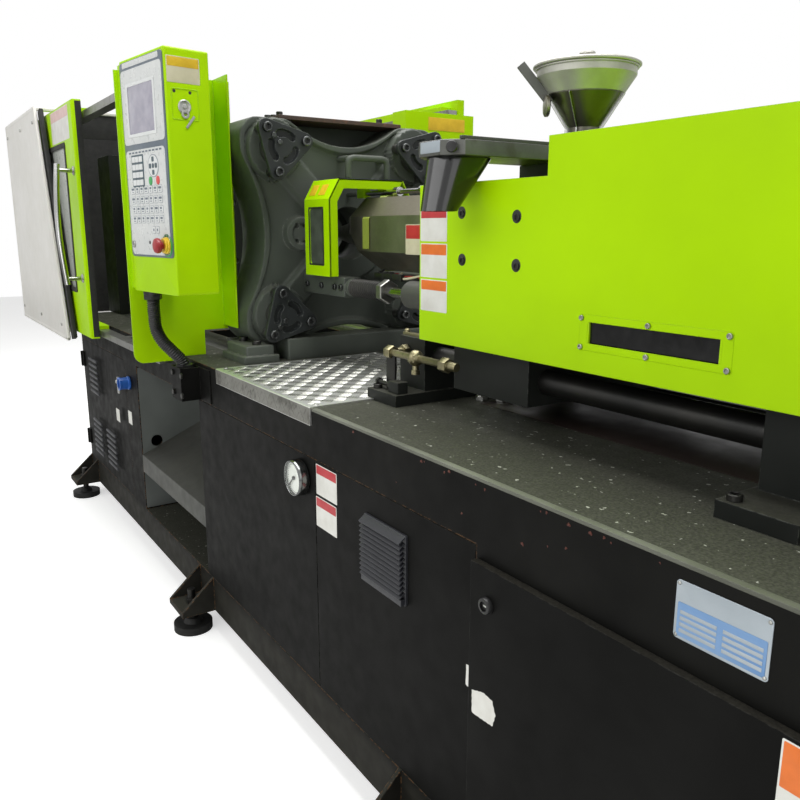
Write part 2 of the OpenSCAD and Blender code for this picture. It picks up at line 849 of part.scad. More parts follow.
module gate_window() color("#39403c")
  bx([gate_x1 - win_in - win_w, -gate_y + win_t, win_z0],
      [gate_x1 - win_in, -gate_y + 2 * win_t, win_z1]);

module grip(x) {
  for (z = [grip_z0, grip_z1]) cy(-gate_y - grip_out, -gate_y, x - grip_x, z, grip_r);
  cz(grip_z0 - grip_r, grip_z1 + grip_r, x - grip_x, -gate_y - grip_out, grip_r);
}

module gate_handle() color("#d8d8d6") grip(gate_x1);

// Closing edge of the rear gate, which stands shut
rear_x1 = post_x0 - gap;

module rear_gate() color("#a6d400") mirror([0, 1, 0]) {
  gate_sheet(rear_x1);
  grip(rear_x1);
  bx([rear_x1 - win_in - win_w, -gate_y + win_t, win_z0],
      [rear_x1 - win_in, -gate_y + 2 * win_t, win_z1]);
}

module clamp_covers() color("#d8d6d0") {
  both() {
    pry(-cover_y, -cover_y + sheet_t, [[cover_x0, cover_z0], [cover_x0 + cut_lo, cover_z0],
        [cover_x0 + cut_hi, cover_z1], [cover_x0, cover_z1]]);
    for (x = [bed_x0, bed_x0 + shoe_l])
      bx([x, -cover_y, cover_z0], [x + brk_w, -bed_half, cover_z0 + brk_w / 2]);
  }
  bx([cover_x0, -cover_y, cover_z0], [cover_x0 + sheet_t, cover_y, cover_z1]);
}

// Sheet beside the fixed platen from y0 outwards and up to z1
module post_sheet(y0, z1) {
  difference() {
    prx(post_x0, post_x1, [[-y0, post_zb], [-post_yb, post_zb], [-post_yb, bed_z], [-bed_half, bed_z],
        [-bed_half, post_low], [-cover_y, post_low], [-cover_y, z1], [-y0, z1]]);
    difference() {
      bx([post_x0 - over, -cover_y - over, post_low - over],
          [post_x1 + over, -cover_y + post_r, post_low + post_r]);
      cx(post_x0 - over, post_x1 + over, -cover_y + post_r, post_low + post_r, post_r);
    }
  }
}

module panel_post() color("#a6d400") {
  post_sheet(post_y0, post_z1);
  bx([post_x1 - over, -plat_w / 2 - post_gap - sheet_t, bed_z + post_fz],
      [post_x1 + post_fl, -plat_w / 2 - post_gap, post_z1]);
  translate([0, 0, pan_z0 + face_in]) linear_extrude(pan_z1 - pan_z0 - 2 * face_in)
    polygon([[post_x1 - over, pan_y + pan_d * cos(pan_turn)], [post_x1 - over, pan_y], [pan_x - clr, pan_y],
        [pan_x - clr - pan_d * sin(pan_turn), pan_y + pan_d * cos(pan_turn)]]);
}

module rear_post() color("#a6d400") mirror([0, 1, 0]) {
  post_sheet(rpost_y0, post_z1 - rpost_low);
  bx([post_x0 - rpost_d, -rpost_y0 - sheet_t, post_z1 - rpost_low - rpost_h],
      [post_x0 + over, -rpost_y0, post_z1 - rpost_low]);
}

// Frame of the operator panel, with X along its face and Y into it
module in_panel() translate([pan_x, pan_y, 0]) rotate([0, 0, pan_turn]) children();

module panel_box() color("#96c60a") in_panel() bx([0, 0, pan_z0], [pan_w, pan_d, pan_z1]);

module panel_face() color("#dcdcd8") in_panel() difference() {
  union() {
    bx([face_in, -face_t, face_z0], [pan_w - face_in, 0, pan_z1 - face_in]);
    cy(-face_t - es_colh, 0, es_x, es_z, es_col);
  }
  cy(-face_t - es_colh - over, -over, es_x, es_z, es_pin + run);
}

module e_stop() color("#c4161c") in_panel() {
  cy(-face_t - es_colh - es_gap - es_caph, -face_t - es_colh - es_gap, es_x, es_z, es_cap);
  cy(-face_t - es_colh - es_gap - over, -face_t - es_gap, es_x, es_z, es_pin);
}

// Ring of points round the hose's path at point i
function hose_dir(i) = hose[min(i + 1, len(hose) - 1)] - hose[max(i - 1, 0)];
function hose_ring(i) = let (u = cross(hose_dir(i), [0, 1, 0]), v = cross(hose_dir(i), u))
    [for (k = [0 : hose_n - 1]) hose[i] + hose_r * (cos(k * 360 / hose_n) * u / norm(u) +
        sin(k * 360 / hose_n) * v / norm(v))];

module panel_hose() color("#161616") polyhedron(points = [for (i = [0 : len(hose) - 1]) each hose_ring(i)],
    faces = [[for (k = [0 : hose_n - 1]) k], for (i = [0 : len(hose) - 2], k = [0 : hose_n - 1])
        let (j = i * hose_n, m = (k + 1) % hose_n) each [[j + k, j + hose_n + k, j + m],
        [j + m, j + hose_n + k, j + hose_n + m]],
        [for (k = [hose_n - 1 : -1 : 0]) (len(hose) - 1) * hose_n + k]]);

module hose_bracket() color("#1c1c1b") {
  difference() {
    bx([hb_x0, -bed_half - hb_d, hb_z0], [hb_x1, -bed_half, hb_z1]);
    bx([hb_x0 + sheet_t, -bed_half - hb_d + sheet_t, hb_z0 + sheet_t],
        [hb_x1 - sheet_t, -bed_half - sheet_t, hb_z1 + over]);
  }
  bx([hb_x1 - over, -bed_half - sheet_t, hb_z0], [hb_x2, -bed_half, hb_z1]);
}

module seat_at(x) {
  bx([x, -seat_y, bed_z], [x + seat_l, seat_y, bed_z + seat_t]);
  both() bx([x + seat_cap / 2, -gbar_y - gbar_r - seat_cap, bed_z],
      [x + seat_l - seat_cap / 2, -gbar_y + gbar_r + seat_cap, gbar_z + gbar_r + seat_cap]);
}

module seat_blocks() color("#1b1b1a") difference() {
  for (x = [seat1_x0, seat2_x0, seat3_x0]) seat_at(x);
  both() cx(seat1_x0 - over, seat3_x0 + seat_l + over, -gbar_y, gbar_z, gbar_r + clr);
  bx([seat1_x0 - over, -seat_y - over, bed_z - over],
      [tread_x1 + clr, tread_y1 + clr, bed_z + tread_t + clr]);
}

module guide_bars() color("#c4c4c2") both()
  cx(seat1_x0 - gbar_end, seat3_x0 + seat_l + gbar_end, -gbar_y, gbar_z, gbar_r);

module carriage_housing() color("#232322") difference() {
  union() {
    bx([hous_x0, -hous_y, hous_z0], [hous_x1, hous_y, hous_z1]);
    bx([throat_x - riser_x, -riser_y, hous_z1 - over], [throat_x + riser_x, riser_y, slide_z]);
    both() bx([arm_x0, -icov_y + sheet_t, arm_z0], [arm_x1, -hous_y + over, arm_z1]);
  }
  both() cx(hous_x0 - over, hous_x1 + over, -gbar_y, gbar_z, gbar_r + run);
  cx(hous_x0 - over, hous_x1 + over, 0, axis_z, barrel_r + clr);
  cz(axis_z, slide_z + over, throat_x, 0, throat_r);
}

module barrel() color("#8c8a86") difference() {
  union() {
    cx(noz_x, bar_x1, 0, axis_z, barrel_r);
    translate([tip_x, 0, axis_z]) rotate([0, 90, 0])
      cylinder(h = noz_x - tip_x + over, r1 = tip_r, r2 = noz_r * 2);
  }
  cx(noz_x, bar_x1 + over, 0, axis_z, screw_r + scr_clr);
  cx(tip_x - over, noz_x + over, 0, axis_z, tip_r / 4);
  cz(axis_z, axis_z + 2 * barrel_r, throat_x, 0, throat_r);
}

module screw() color("#b4b4b0") {
  cx(noz_x + scr_tip, iplate_x0, 0, axis_z, screw_r);
  translate([noz_x + over, 0, axis_z]) rotate([0, 90, 0])
    cylinder(h = scr_tip, r1 = tip_r / 4, r2 = screw_r);
}

function oct_pts(r) = [for (s = [[1, -oct], [1, oct], [oct, 1], [-oct, 1], [-1, oct], [-1, -oct], [-oct, -1],
    [oct, -1]]) [s.x * r, axis_z + s.y * r]];

module barrel_cover() color("#8d8b80") difference() {
  prx(bcov_x0, hous_x0, oct_pts(bcov_r));
  prx(bcov_x0 - over, hous_x0 - bcov_t * 4, oct_pts(bcov_r - bcov_t));
  cx(hous_x0 - bcov_t * 4 - over, hous_x0 + over, 0, axis_z, barrel_r + clr);
  pry(-bcov_r - over, bcov_r + over, [[bcov_x0 - over, axis_z], [bcov_x0, axis_z],
      [bcov_x0 + bcov_cut, axis_z - bcov_r - over], [bcov_x0 - over, axis_z - bcov_r - over]]);
}

module cylinder_set() color("#2a2a29") both() {
  difference() {
    cx(ccyl_x0, hous_x0, -ccyl_y, ccyl_z, ccyl_r);
    cx(ccyl_x0 - over, hous_x0 + over, -ccyl_y, ccyl_z, crod_r + run);
  }
  difference() {
    cx(hous_x1, hous_x1 + icyl_l, -icyl_y, axis_z, icyl_r);
    cx(hous_x1 - over, hous_x1 + icyl_l + over, -icyl_y, axis_z, irod_r + run);
  }
}

module carriage_rods() color("#cfcfcc") both() {
  bx([rib_x, -ccyl_y - cblk_h, ccyl_z - cblk_h], [rib_x + cblk_l, -ccyl_y + cblk_h, ccyl_z + cblk_h]);
  cx(rib_x, crod_x1, -ccyl_y, ccyl_z, crod_r);
}

module injection_plate() color("#252524") {
  bx([iplate_x0, -icyl_y - icyl_r, axis_z - iplate_h],
      [iplate_x0 + iplate_t, icyl_y + icyl_r, axis_z + iplate_h]);
  both() cx(hous_x1 + icyl_r, iplate_x0 + over, -icyl_y, axis_z, irod_r);
}

module hydraulic_motor() color("#4c5356") {
  cx(iplate_x0 + iplate_t, iplate_x0 + iplate_t + hmot_l, 0, axis_z, hmot_r);
  bx([iplate_x0 + iplate_t, -hmot_h, axis_z],
      [iplate_x0 + iplate_t + hmot_l / 2, hmot_h, axis_z + hmot_r + hmot_port]);
}

module injection_cover() color("#a6d400") difference() {
  union() {
    both() pry(-icov_y, -icov_y + sheet_t, [[icov_x0, icov_z0], [icov_x1, icov_z0], [icov_x1, icov_z1],
        [istep_x, icov_z1], [istep_x, istep_z], [icov_x0, istep_z]]);
    bx([istep_x, -icov_y, icov_z1 - sheet_t], [icov_x1, icov_y, icov_z1]);
    bx([istep_x, -icov_y, istep_z - sheet_t], [istep_x + sheet_t, icov_y, icov_z1]);
    bx([icov_x0, -icov_y, istep_z - sheet_t], [istep_x + sheet_t, icov_y, istep_z]);
    bx([icov_x1 - sheet_t, -icov_y, icov_z0], [icov_x1, icov_y, icov_z1]);
  }
  bx([icov_x0 - over, -riser_y - clr, istep_z - sheet_t - over],
      [throat_x + hatch, riser_y + clr, istep_z + over]);
  bx([wnd_x0, -icov_y - over, wnd_z0], [wnd_x1, -icov_y + sheet_t + over, wnd_z1]);
}

module cover_window() color("#0d0d0d")
  bx([wnd_x0 - wnd_lap, -icov_y + sheet_t, wnd_z0 - wnd_lap],
      [wnd_x1 + wnd_lap, -icov_y + sheet_t + wnd_t, wnd_z1 + wnd_lap]);

// Slanted funnel under the slide plate, thinner by t
module spout_tube(t) hull() {
  for (y = [drain_y, drain_y + spout_long])
    translate([throat_x, y, slide_z - over]) cylinder(h = over, r = spout_r0 - t);
  translate([throat_x + spout_side, drain_y - spout_out, spout_z0]) cylinder(h = over, r = spout_r1 - t);
}

module hopper_slide() color("#8e8f8b") {
  difference() {
    translate([throat_x, 0, slide_z]) linear_extrude(slide_t) polygon([[-slide_w / 2, slide_y1],
        [-slide_w / 2, slide_y0 + slide_ch], [-slide_w / 2 + slide_ch, slide_y0], [slide_w / 2 - slide_ch,
        slide_y0], [slide_w / 2, slide_y0 + slide_ch], [slide_w / 2, slide_y1]]);
    for (y = [0, drain_y]) cz(slide_z - over, slide_z + slide_t + over, throat_x, y, throat_r);
  }
  difference() {
    spout_tube(0);
    translate([0, 0, over / 2]) spout_tube(spout_t);
    translate([0, 0, -over]) spout_tube(spout_t);
  }
}

// Top of the hopper's cone
hop_zc = hop_z0 + (hop_r - hop_neck) / hop_slope;

module hopper() color("#a9a8a2") {
  difference() {
    union() {
      bx([throat_x - slide_w / 2, -slide_w / 2, slide_z + slide_t], [throat_x + slide_w / 2, slide_w / 2,
          slide_z + slide_t + base_h]);
      cz(slide_z + slide_t, hop_z0, throat_x, 0, hop_neck);
      translate([throat_x, 0, hop_z0]) cylinder(h = hop_zc - hop_z0, r1 = hop_neck, r2 = hop_r);
      cz(hop_zc - over, hop_z1, throat_x, 0, hop_r);
    }
    cz(slide_z + slide_t - over, hop_z0 + over, throat_x, 0, hop_neck - hop_t);
    translate([throat_x, 0, hop_z0]) cylinder(h = hop_zc - hop_z0, r1 = hop_neck - hop_t, r2 = hop_r - hop_t);
    cz(hop_zc - over / 2, hop_z1 + over, throat_x, 0, hop_r - hop_t);
  }
}

module hopper_lid() color("#a9a8a2") {
  cz(hop_z1 + clr, hop_z1 + lid_t, throat_x, 0, hop_r + lid_over);
  cz(hop_z1 + lid_t - over, hop_z1 + lid_t + lid_up, throat_x, 0, hop_r / 6);
  cx(throat_x - lid_kl / 2, throat_x + lid_kl / 2, hop_r + lid_over, hop_z1 + clr + lid_kr, lid_kr);
}

// Bent line of the purge guard in Y and Z, moved inwards by t
function pg_line(t) = [[-pg_y + t, pg_z0], [-pg_y + t, pg_z1 - pg_cz - pg_low_share * t],
    [-pg_y + pg_cy + pg_top_share * t, pg_z1 - t], [pg_yr - pg_cy - pg_top_share * t, pg_z1 - t],
    [pg_yr - t, pg_z1 - pg_cz - pg_low_share * t], [pg_yr - t, pg_z1 - pg_rear]];

// Part of that line which the rear edge is folded along
function lip_line(t) = [for (i = [0 : 3]) pg_line(t)[i]];
function back(p) = [for (i = [len(p) - 1 : -1 : 0]) p[i]];

module purge_guard() color("#a6d400") {
  difference() {
    union() {
      prx(pg_x0, pg_x1, concat(pg_line(0), back(pg_line(pg_t))));
      prx(pg_x1 - pg_t, pg_x1, concat(lip_line(0), back(lip_line(pg_lip))));
    }
    bx([pg_x0 + pgw_in0, -pg_y - over, pgw_z0], [pg_x1 - pgw_in1, -pg_y + pg_t + over, pgw_z1]);
  }
  difference() {
    bx([hang_x, -hang_w / 2, srod_z - hang_w / 2], [hang_x + hang_l, hang_w / 2, pg_z1 - pg_t / 2]);
    cx(hang_x - over, hang_x + hang_l + over, 0, srod_z, srod_r + run);
  }
}

module guard_window() color("#2a302c")
  bx([pg_x0 + pgw_in0 - pgw_lap, -pg_y + pg_t, pgw_z0 - pgw_lap],
      [pg_x1 - pgw_in1 + pgw_lap, -pg_y + pg_t + pgw_t, pgw_z1 + pgw_lap]);

module stop_rod() color("#bdbdb9") {
  cx(ring_x, srod_x1, 0, srod_z, srod_r);
  for (x = snut_at) cx(x, x + snut_l, 0, srod_z, snut_r);
}

module pipe_fittings() color("#a58a4a") {
  cx(pf_x0, pf_x1, pf_y, pf_z, pf_r);
  for (x = pf_at) cx(x, x + pf_nl, pf_y, pf_z, pf_nut);
  cz(pf_z - pf_br, pf_z, pf_at[1] + pf_nl / 2, pf_y, pf_r);
  bx([pf_at[0], pf_y - pf_bt, bed_z + seat_t], [pf_at[0] + pf_br, pf_y, pf_z]);
}

bed_frame();
level_pads();
level_studs();
tread_plate();
front_panel();
vent_panel();
vent_grille();
pressure_gauge();
gauge_needle();
pump_door();
door_lock();
elec_door();
power_socket();
elec_plate();
drop_chute();
pump_unit();
fixed_platen();
tie_bars();
tie_nuts();
retainer_plates();
retainer_bolts();
top_plate();
lift_bail();
moving_platen();
tail_platen();
clamp_cylinder();
clamp_ram();
ejector();
gate_rails();
front_gate();
gate_window();
gate_handle();
rear_gate();
clamp_covers();
panel_post();
rear_post();
panel_box();
panel_face();
e_stop();
panel_hose();
hose_bracket();
seat_blocks();
guide_bars();
carriage_housing();
barrel();
screw();
barrel_cover();
cylinder_set();
carriage_rods();
injection_plate();
hydraulic_motor();
injection_cover();
cover_window();
hopper_slide();
hopper();
hopper_lid();
purge_guard();
guard_window();
stop_rod();
pipe_fittings();
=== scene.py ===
"""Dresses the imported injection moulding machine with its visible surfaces, finishes and studio."""

import math

import bmesh
import bpy
import numpy as np
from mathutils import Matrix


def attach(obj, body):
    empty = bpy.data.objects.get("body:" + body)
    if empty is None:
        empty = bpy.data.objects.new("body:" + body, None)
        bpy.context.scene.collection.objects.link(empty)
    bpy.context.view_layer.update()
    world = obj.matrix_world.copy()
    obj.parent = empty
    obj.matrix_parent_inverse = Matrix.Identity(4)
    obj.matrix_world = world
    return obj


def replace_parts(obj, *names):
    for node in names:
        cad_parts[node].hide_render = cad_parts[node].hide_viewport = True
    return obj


bl_info = {
    "name": "Injection moulding machine",
    "version": (1, 0, 0),
    "blender": (4, 5, 0),
    "location": "View3D > Sidebar > Moulding machine",
    "description": "Visible surfaces and finishes of a horizontal injection moulding machine",
    "category": "Object",
}

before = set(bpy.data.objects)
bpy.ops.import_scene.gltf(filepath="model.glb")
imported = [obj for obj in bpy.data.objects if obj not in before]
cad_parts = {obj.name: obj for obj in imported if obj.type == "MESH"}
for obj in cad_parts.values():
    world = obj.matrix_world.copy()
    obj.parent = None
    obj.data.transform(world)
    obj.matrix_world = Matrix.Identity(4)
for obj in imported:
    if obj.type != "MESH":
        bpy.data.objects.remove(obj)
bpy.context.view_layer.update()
MM = 0.001

# Faces and axes that pieces sit on, in millimetres in the machine's frame
BED_FRONT, DOOR_FRONT, PANEL_BACK = -491, -505, 493.5
DECK, SEAT_TOP, BAR_TOP = 861, 887, 1576
TREAD_LEFT, TREAD_FRONT, TREAD_TOP = 59, -495, 865
GATE_FRONT, COVER_FRONT = -600, -290
AXIS_Z, MOTOR_Z = 1234.0, 360
ROD_Y, ROD_Z = 130, 1085
HOPPER_X = 937.0
SLIDE_LOW, SLIDE_TOP, SLIDE_SEAT = 1376, 1404, 1404.4
BLOCK_Y, DISC_Y = 339, 162
# Tie bars about the clamp's axis, and the screw circle and thickness of their retainer plates
TIES = [(-242.5, 242.5), (242.5, 242.5), (-242.5, -242.5), (242.5, -242.5)]
RETAINER_R, RETAINER_T = 72, 14
# Operator panel: directions along and out of its face, lower left corner, width, depth, and how far foil,
# key seats and key tops stand out
PAN_TURN = math.radians(8)
PAN_U = np.array([math.cos(PAN_TURN), math.sin(PAN_TURN), 0.0])
PAN_W = np.array([math.sin(PAN_TURN), -math.cos(PAN_TURN), 0.0])
PAN_O = np.array([-212.0, -628.0, 0.0])
PAN_WIDE, PAN_DEEP = 280.0, 122.0
FOIL, KEY, KEY_TOP = 3, 4.2, 5.7
# Window frame of both gates: half sizes, corner radius, opening, thickness and edge
WINDOW_FRAME = (330, 285, 14, (0, 0, 312, 267, 8), 3, 1)
SIDES = ((-1, "near"), (1, "far"))
# Finishes and a second name for each, for the looks that many pieces share
ZINC = "zinc_screw", "zinc_plate"
BLACK_STEEL = "black_oxide_steel", "dark_steel"
RUBBER = "black_rubber", "black_plastic"
MOULDED = "moulded_black", "black_plastic"
IVORY = "ivory_enamel", "white_paint"
MACHINED = "machined_steel", "stainless"
BRASS = "tarnished_brass", "brass"
# Flat black that paints the shade inside holes, slots and vents
HOLE_SHADE = "dial_black_and_hole_shade", "black_plastic"


# Shapes

def grid(nu, nv, wrap=True):
    """Quads over nu rings of nv points, each ring joined round to its start when wrap is true."""
    i, j = np.meshgrid(np.arange(nu - 1), np.arange(nv if wrap else nv - 1), indexing="ij")
    k = (j + 1) % nv
    return np.stack([i * nv + j, i * nv + k, (i + 1) * nv + k, (i + 1) * nv + j], -1).reshape(-1, 4)


def join(*shapes):
    """One shape from several: points stacked, face numbers shifted by the points before them."""
    start = np.cumsum([0] + [len(v) for v, f in shapes[:-1]])
    return (np.concatenate([v for v, f in shapes]),
            np.concatenate([f + s for (v, f), s in zip(shapes, start)]))


def at(shape, origin, u=(1, 0, 0), v=(0, 0, 1)):
    """Points carried from local (a, b, c) to origin + a u + b v + c (u x v)."""
    u, v = np.array(u, float), np.array(v, float)
    return shape[0] @ np.stack([u, v, np.cross(u, v)]) + np.array(origin, float), shape[1]


def many(shape, places):
    """One shape repeated at several placings and joined."""
    return join(*[at(shape, **place) for place in places])


def turns(n):
    """Angles of n even steps round a full turn."""
    return np.arange(n) * 2 * np.pi / n


def rounded(a, b, r, n=6):
    """Outline of a rectangle of half sizes a and b whose corners are arcs of radius r."""
    t = np.linspace(0, np.pi / 2, n)
    r = min(r, a, b)
    turn = np.repeat(np.arange(4) * np.pi / 2, n)
    ang = np.tile(t, 4) + turn
    sx = np.repeat([1, -1, -1, 1], n)
    sy = np.repeat([1, 1, -1, -1], n)
    return np.stack([sx * (a - r) + r * np.cos(ang), sy * (b - r) + r * np.sin(ang)], -1)


def slab(a, b, r, t, edge=1.0, n=6):
    """Plate of half sizes a, b and thickness t: its outline drawn in by d at height h, where (d, h)
    runs from the middle of the back, round an edge arc of the given radius, to the middle of the front."""
    q = np.linspace(0, np.pi / 2, 5)
    d = np.concatenate([[min(a, b), 0.0, 0.0], edge * (1 - np.cos(q))[1:], [min(a, b)]])
    h = np.concatenate([[0.0, 0.0, t - edge], t - edge + edge * np.sin(q)[1:], [t]])
    rings = [np.c_[rounded(max(a - x, 0), max(b - x, 0), max(r - x, 0), n), np.full(4 * n, z)]
             for x, z in zip(d, h)]
    return np.concatenate(rings), grid(len(d), 4 * n)


def disc(r, t, edge):
    """Round plate of radius r and thickness t."""
    return slab(r, r, r, t, edge)


def lathe(profile, n=32, six=()):
    """Turned shape: each (r, h) of the profile swept round the third axis; the rings named in six
    are hexagons, with r divided by cos of the angle from the middle of the nearest flat."""
    p = np.array(profile, float)
    ang = turns(n)
    flat = 1 / np.cos((ang + np.pi / 6) % (np.pi / 3) - np.pi / 6)
    r = p[:, :1] * np.where(np.isin(np.arange(len(p)), list(six))[:, None], flat, 1.0)
    pts = np.stack([r * np.cos(ang), r * np.sin(ang), np.repeat(p[:, 1:], n, 1)], -1)
    return pts.reshape(-1, 3), grid(len(p), n)


def smooth_path(points, n):
    """Points along a Catmull-Rom curve through the given points, evenly spread in parameter."""
    p = np.array(points, float)
    p = np.concatenate([2 * p[:1] - p[1:2], p, 2 * p[-1:] - p[-2:-1]])
    s = np.linspace(0, len(p) - 3 - 1e-9, n)
    i = s.astype(int)
    t = (s - i)[:, None]
    a, b, c, d = p[i], p[i + 1], p[i + 2], p[i + 3]
    return 0.5 * (2 * b + (c - a) * t + (2 * a - 5 * b + 4 * c - d) * t ** 2
                  + (3 * b - a - 3 * c + d) * t ** 3)


def frames(path, up):
    """Unit side and normal at each point of a path, the side being up x tangent."""
    t = np.gradient(path, axis=0)
    t /= np.linalg.norm(t, axis=1)[:, None]
    side = np.cross(np.array(up, float), t)
    side /= np.linalg.norm(side, axis=1)[:, None]
    return side, np.cross(t, side)


def sweep(path, outline, up=(0, 0, 1)):
    """Closed outline (p, q) carried along a path: point = path + p side + q normal, ends shut."""
    path = np.array(path, float)
    side, nor = frames(path, up)
    o = np.array(outline, float)
    if o.ndim == 2:
        o = np.repeat(o[None], len(path), 0)
    pts = path[:, None] + o[..., :1] * side[:, None] + o[..., 1:] * nor[:, None]
    ends = [np.repeat(pts[k].mean(0)[None], o.shape[1], 0)[None] for k in (0, -1)]
    pts = np.concatenate([ends[0], pts, ends[1]])
    return pts.reshape(-1, 3), grid(len(path) + 2, o.shape[1])


def tube(path, r, n=12, up=(0, 0, 1)):
    """Round tube: circle of radius r, which may change along the path, carried along the path."""
    a = turns(n)
    r = np.broadcast_to(np.array(r, float), (len(path),))
    return sweep(path, r[:, None, None] * np.stack([np.cos(a), np.sin(a)], -1)[None], up)


def bent(points, r, n=5):
    """Open line whose inner corners are replaced by arcs of radius r."""
    p = np.array(points, float)
    out = [p[:1]]
    for a, b, c in zip(p[:-2], p[1:-1], p[2:]):
        e = (a - b) / np.linalg.norm(a - b)
        f = (c - b) / np.linalg.norm(c - b)
        half = np.arccos(np.clip(e @ f, -1, 1)) / 2
        d = min(r / np.tan(half), 0.49 * np.linalg.norm(a - b), 0.49 * np.linalg.norm(c - b))
        s = np.linspace(0, 1, n)[:, None]
        out.append((1 - s) ** 2 * (b + e * d) + 2 * s * (1 - s) * b + s ** 2 * (b + f * d))
    return np.concatenate(out + [p[-1:]])


def rod(r, h, n=24, six=()):
    """Plain round bar of radius r and length h."""
    return lathe([(0, 0), (r, 0), (r, h), (0, h)], n, six)


def ball(r, rings, n):
    """Ball of radius r turned from a half circle of the given number of points."""
    a = np.linspace(-np.pi / 2, np.pi / 2, rings)
    return lathe(r * np.stack([np.cos(a), np.sin(a)], -1), n)


def pipe_nut(r, h, bevel=2):
    """Hexagon nut whose last 2 mm taper in by the bevel."""
    return lathe([(0, 0), (r, 0), (r, h - 2), (r - bevel, h), (0, h)], 24, six=(1, 2))


def cap_screw(r, h):
    """Socket cap screw standing on its seat: round head with a bevelled rim and a hexagon socket."""
    return lathe([(0, 0), (r, 0), (r, h - 0.12 * r), (r - 0.12 * r, h), (0.62 * r, h),
                  (0.56 * r, h - 0.06 * r), (0.56 * r, 0.4 * h), (0, 0.36 * h)], 24, six=(5, 6))


def hex_bolt(r, h):
    """Hexagon head of corner radius about r with its chamfered top."""
    return lathe([(0, 0), (0.87 * r, 0), (0.87 * r, h - 0.15 * r), (0.78 * r, h), (0, h)], 24, six=(1, 2))


def washer(r, hole, h):
    """Flat ring of outer radius r with softened edges."""
    return lathe([(hole, 0), (r, 0), (r, 0.7 * h), (r - 0.3 * h, h), (hole, h), (hole, 0)], 28)


# Objects

def put(name, shape, finish, slot, angle=32, body="machine", merge=True):
    """Mesh object in metres from a shape in millimetres, riding on a body, smooth up to an edge angle."""
    verts, faces = shape
    mesh = bpy.data.meshes.new(name)
    mesh.from_pydata((verts * MM).tolist(), [], faces.tolist())
    if merge:
        bm = bmesh.new()
        bm.from_mesh(mesh)
        bmesh.ops.remove_doubles(bm, verts=bm.verts, dist=2e-6)
        bmesh.ops.dissolve_degenerate(bm, edges=bm.edges, dist=1e-7)
        bmesh.ops.recalc_face_normals(bm, faces=bm.faces)
        bm.to_mesh(mesh)
        bm.free()
    mesh.polygons.foreach_set("use_smooth", np.ones(len(mesh.polygons), bool))
    mesh.set_sharp_from_angle(angle=math.radians(angle))
    mesh.update()
    obj = bpy.data.objects.new(name, mesh)
    bpy.context.scene.collection.objects.link(obj)
    obj.data.materials.append(bpy.data.materials[finish])
    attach(obj, body)
    return obj


def placing(u, v):
    """Maker of placings at a point of a face on which right is u and up is v."""
    return lambda x, y, z: dict(origin=(x, y, z), u=u, v=v)


# Faces that look to the operator, away from the operator, along X, against X and up
front, rear = placing((1, 0, 0), (0, 0, 1)), placing((-1, 0, 0), (0, 0, 1))
facing_x, facing_back = placing((0, 1, 0), (0, 0, 1)), placing((0, -1, 0), (0, 0, 1))
on_top = placing((1, 0, 0), (0, 1, 0))


def around(place, x, r, n, y=0, z=AXIS_Z):
    """Placings at n even steps round a circle of radius r about an axis along X at y and z."""
    return [place(x, y + r * math.cos(a), z + r * math.sin(a)) for a in turns(n)]


def panel(x, z, out=0.0):
    """Placing on the operator panel's face, x along it from its left edge and z above the floor."""
    return dict(origin=PAN_O + x * PAN_U + out * PAN_W + (0, 0, z), u=PAN_U, v=(0, 0, 1))


def panel_side(x, z, out=0.0):
    """Placing on the panel's side that looks along X, x back from its front edge."""
    o = PAN_O + PAN_WIDE * PAN_U - x * PAN_W + out * PAN_U + (0, 0, z)
    return dict(origin=o, u=-PAN_W, v=(0, 0, 1))


# Finishes

def linear(code):
    """Linear colour from an sRGB hex value: the sRGB curve undone on each channel."""
    c = np.array([int(code[i:i + 2], 16) for i in (1, 3, 5)]) / 255
    return tuple(np.where(c <= 0.04045, c / 12.92, ((c + 0.055) / 1.055) ** 2.4)) + (1.0,)


def add(tree, kind, ins=None, **settings):
    """Add one node: settings are its own options, ins are values or (node, output) links by input."""
    n = tree.nodes.new("ShaderNode" + kind)
    for key, value in settings.items():
        setattr(n, key, value)
    for key, value in (ins or {}).items():
        if isinstance(value, tuple) and isinstance(value[0], bpy.types.Node):
            tree.links.new(value[0].outputs[value[1]], n.inputs[key])
        else:
            n.inputs[key].default_value = value
    return n


def start(name):
    """New material with its Principled shader and the Object coordinates that its patterns read."""
    mat = bpy.data.materials.new(name)
    mat.use_nodes = True
    tree = mat.node_tree
    tree.nodes.clear()
    bsdf = add(tree, "BsdfPrincipled")
    add(tree, "OutputMaterial", {"Surface": (bsdf, "BSDF")})
    return tree, bsdf, add(tree, "TexCoord")


def spots(tree, place, size_mm, low, high, detail=4.0, stretch=(1, 1, 1)):
    """Mask from 0 to 1 of noise patches about size_mm across, cut between low and high."""
    m = add(tree, "Mapping", {"Vector": (place, "Object"), "Scale": stretch})
    n = add(tree, "TexNoise", {"Vector": (m, "Vector"), "Scale": 1 / (size_mm * MM), "Detail": detail})
    return add(tree, "MapRange", {"Value": (n, "Fac"), "From Min": low, "From Max": high})


def times(tree, a, b):
    """Product of two masks."""
    return add(tree, "Math", {0: (a, 0), 1: (b, 0)}, operation="MULTIPLY")


def spread(tree, mask, low, high):
    """Mask stretched to run from low to high."""
    return add(tree, "MapRange", {"Value": (mask, 0), "To Min": low, "To Max": high})


def lying(tree, low, high):
    """Mask that rises on faces that look up, as the height of their normal goes from low to high."""
    sep = add(tree, "SeparateXYZ", {0: (add(tree, "NewGeometry"), "Normal")})
    return add(tree, "MapRange", {"Value": (sep, "Z"), "From Min": low, "From Max": high})


def tint(tree, mask, under, over, most=1.0):
    """Colour that goes from under to over as the mask rises, and no further than most."""
    part = add(tree, "Math", {0: (mask, 0), 1: most}, operation="MULTIPLY")
    return add(tree, "MixRGB", {"Fac": (part, 0), "Color1": under, "Color2": over})


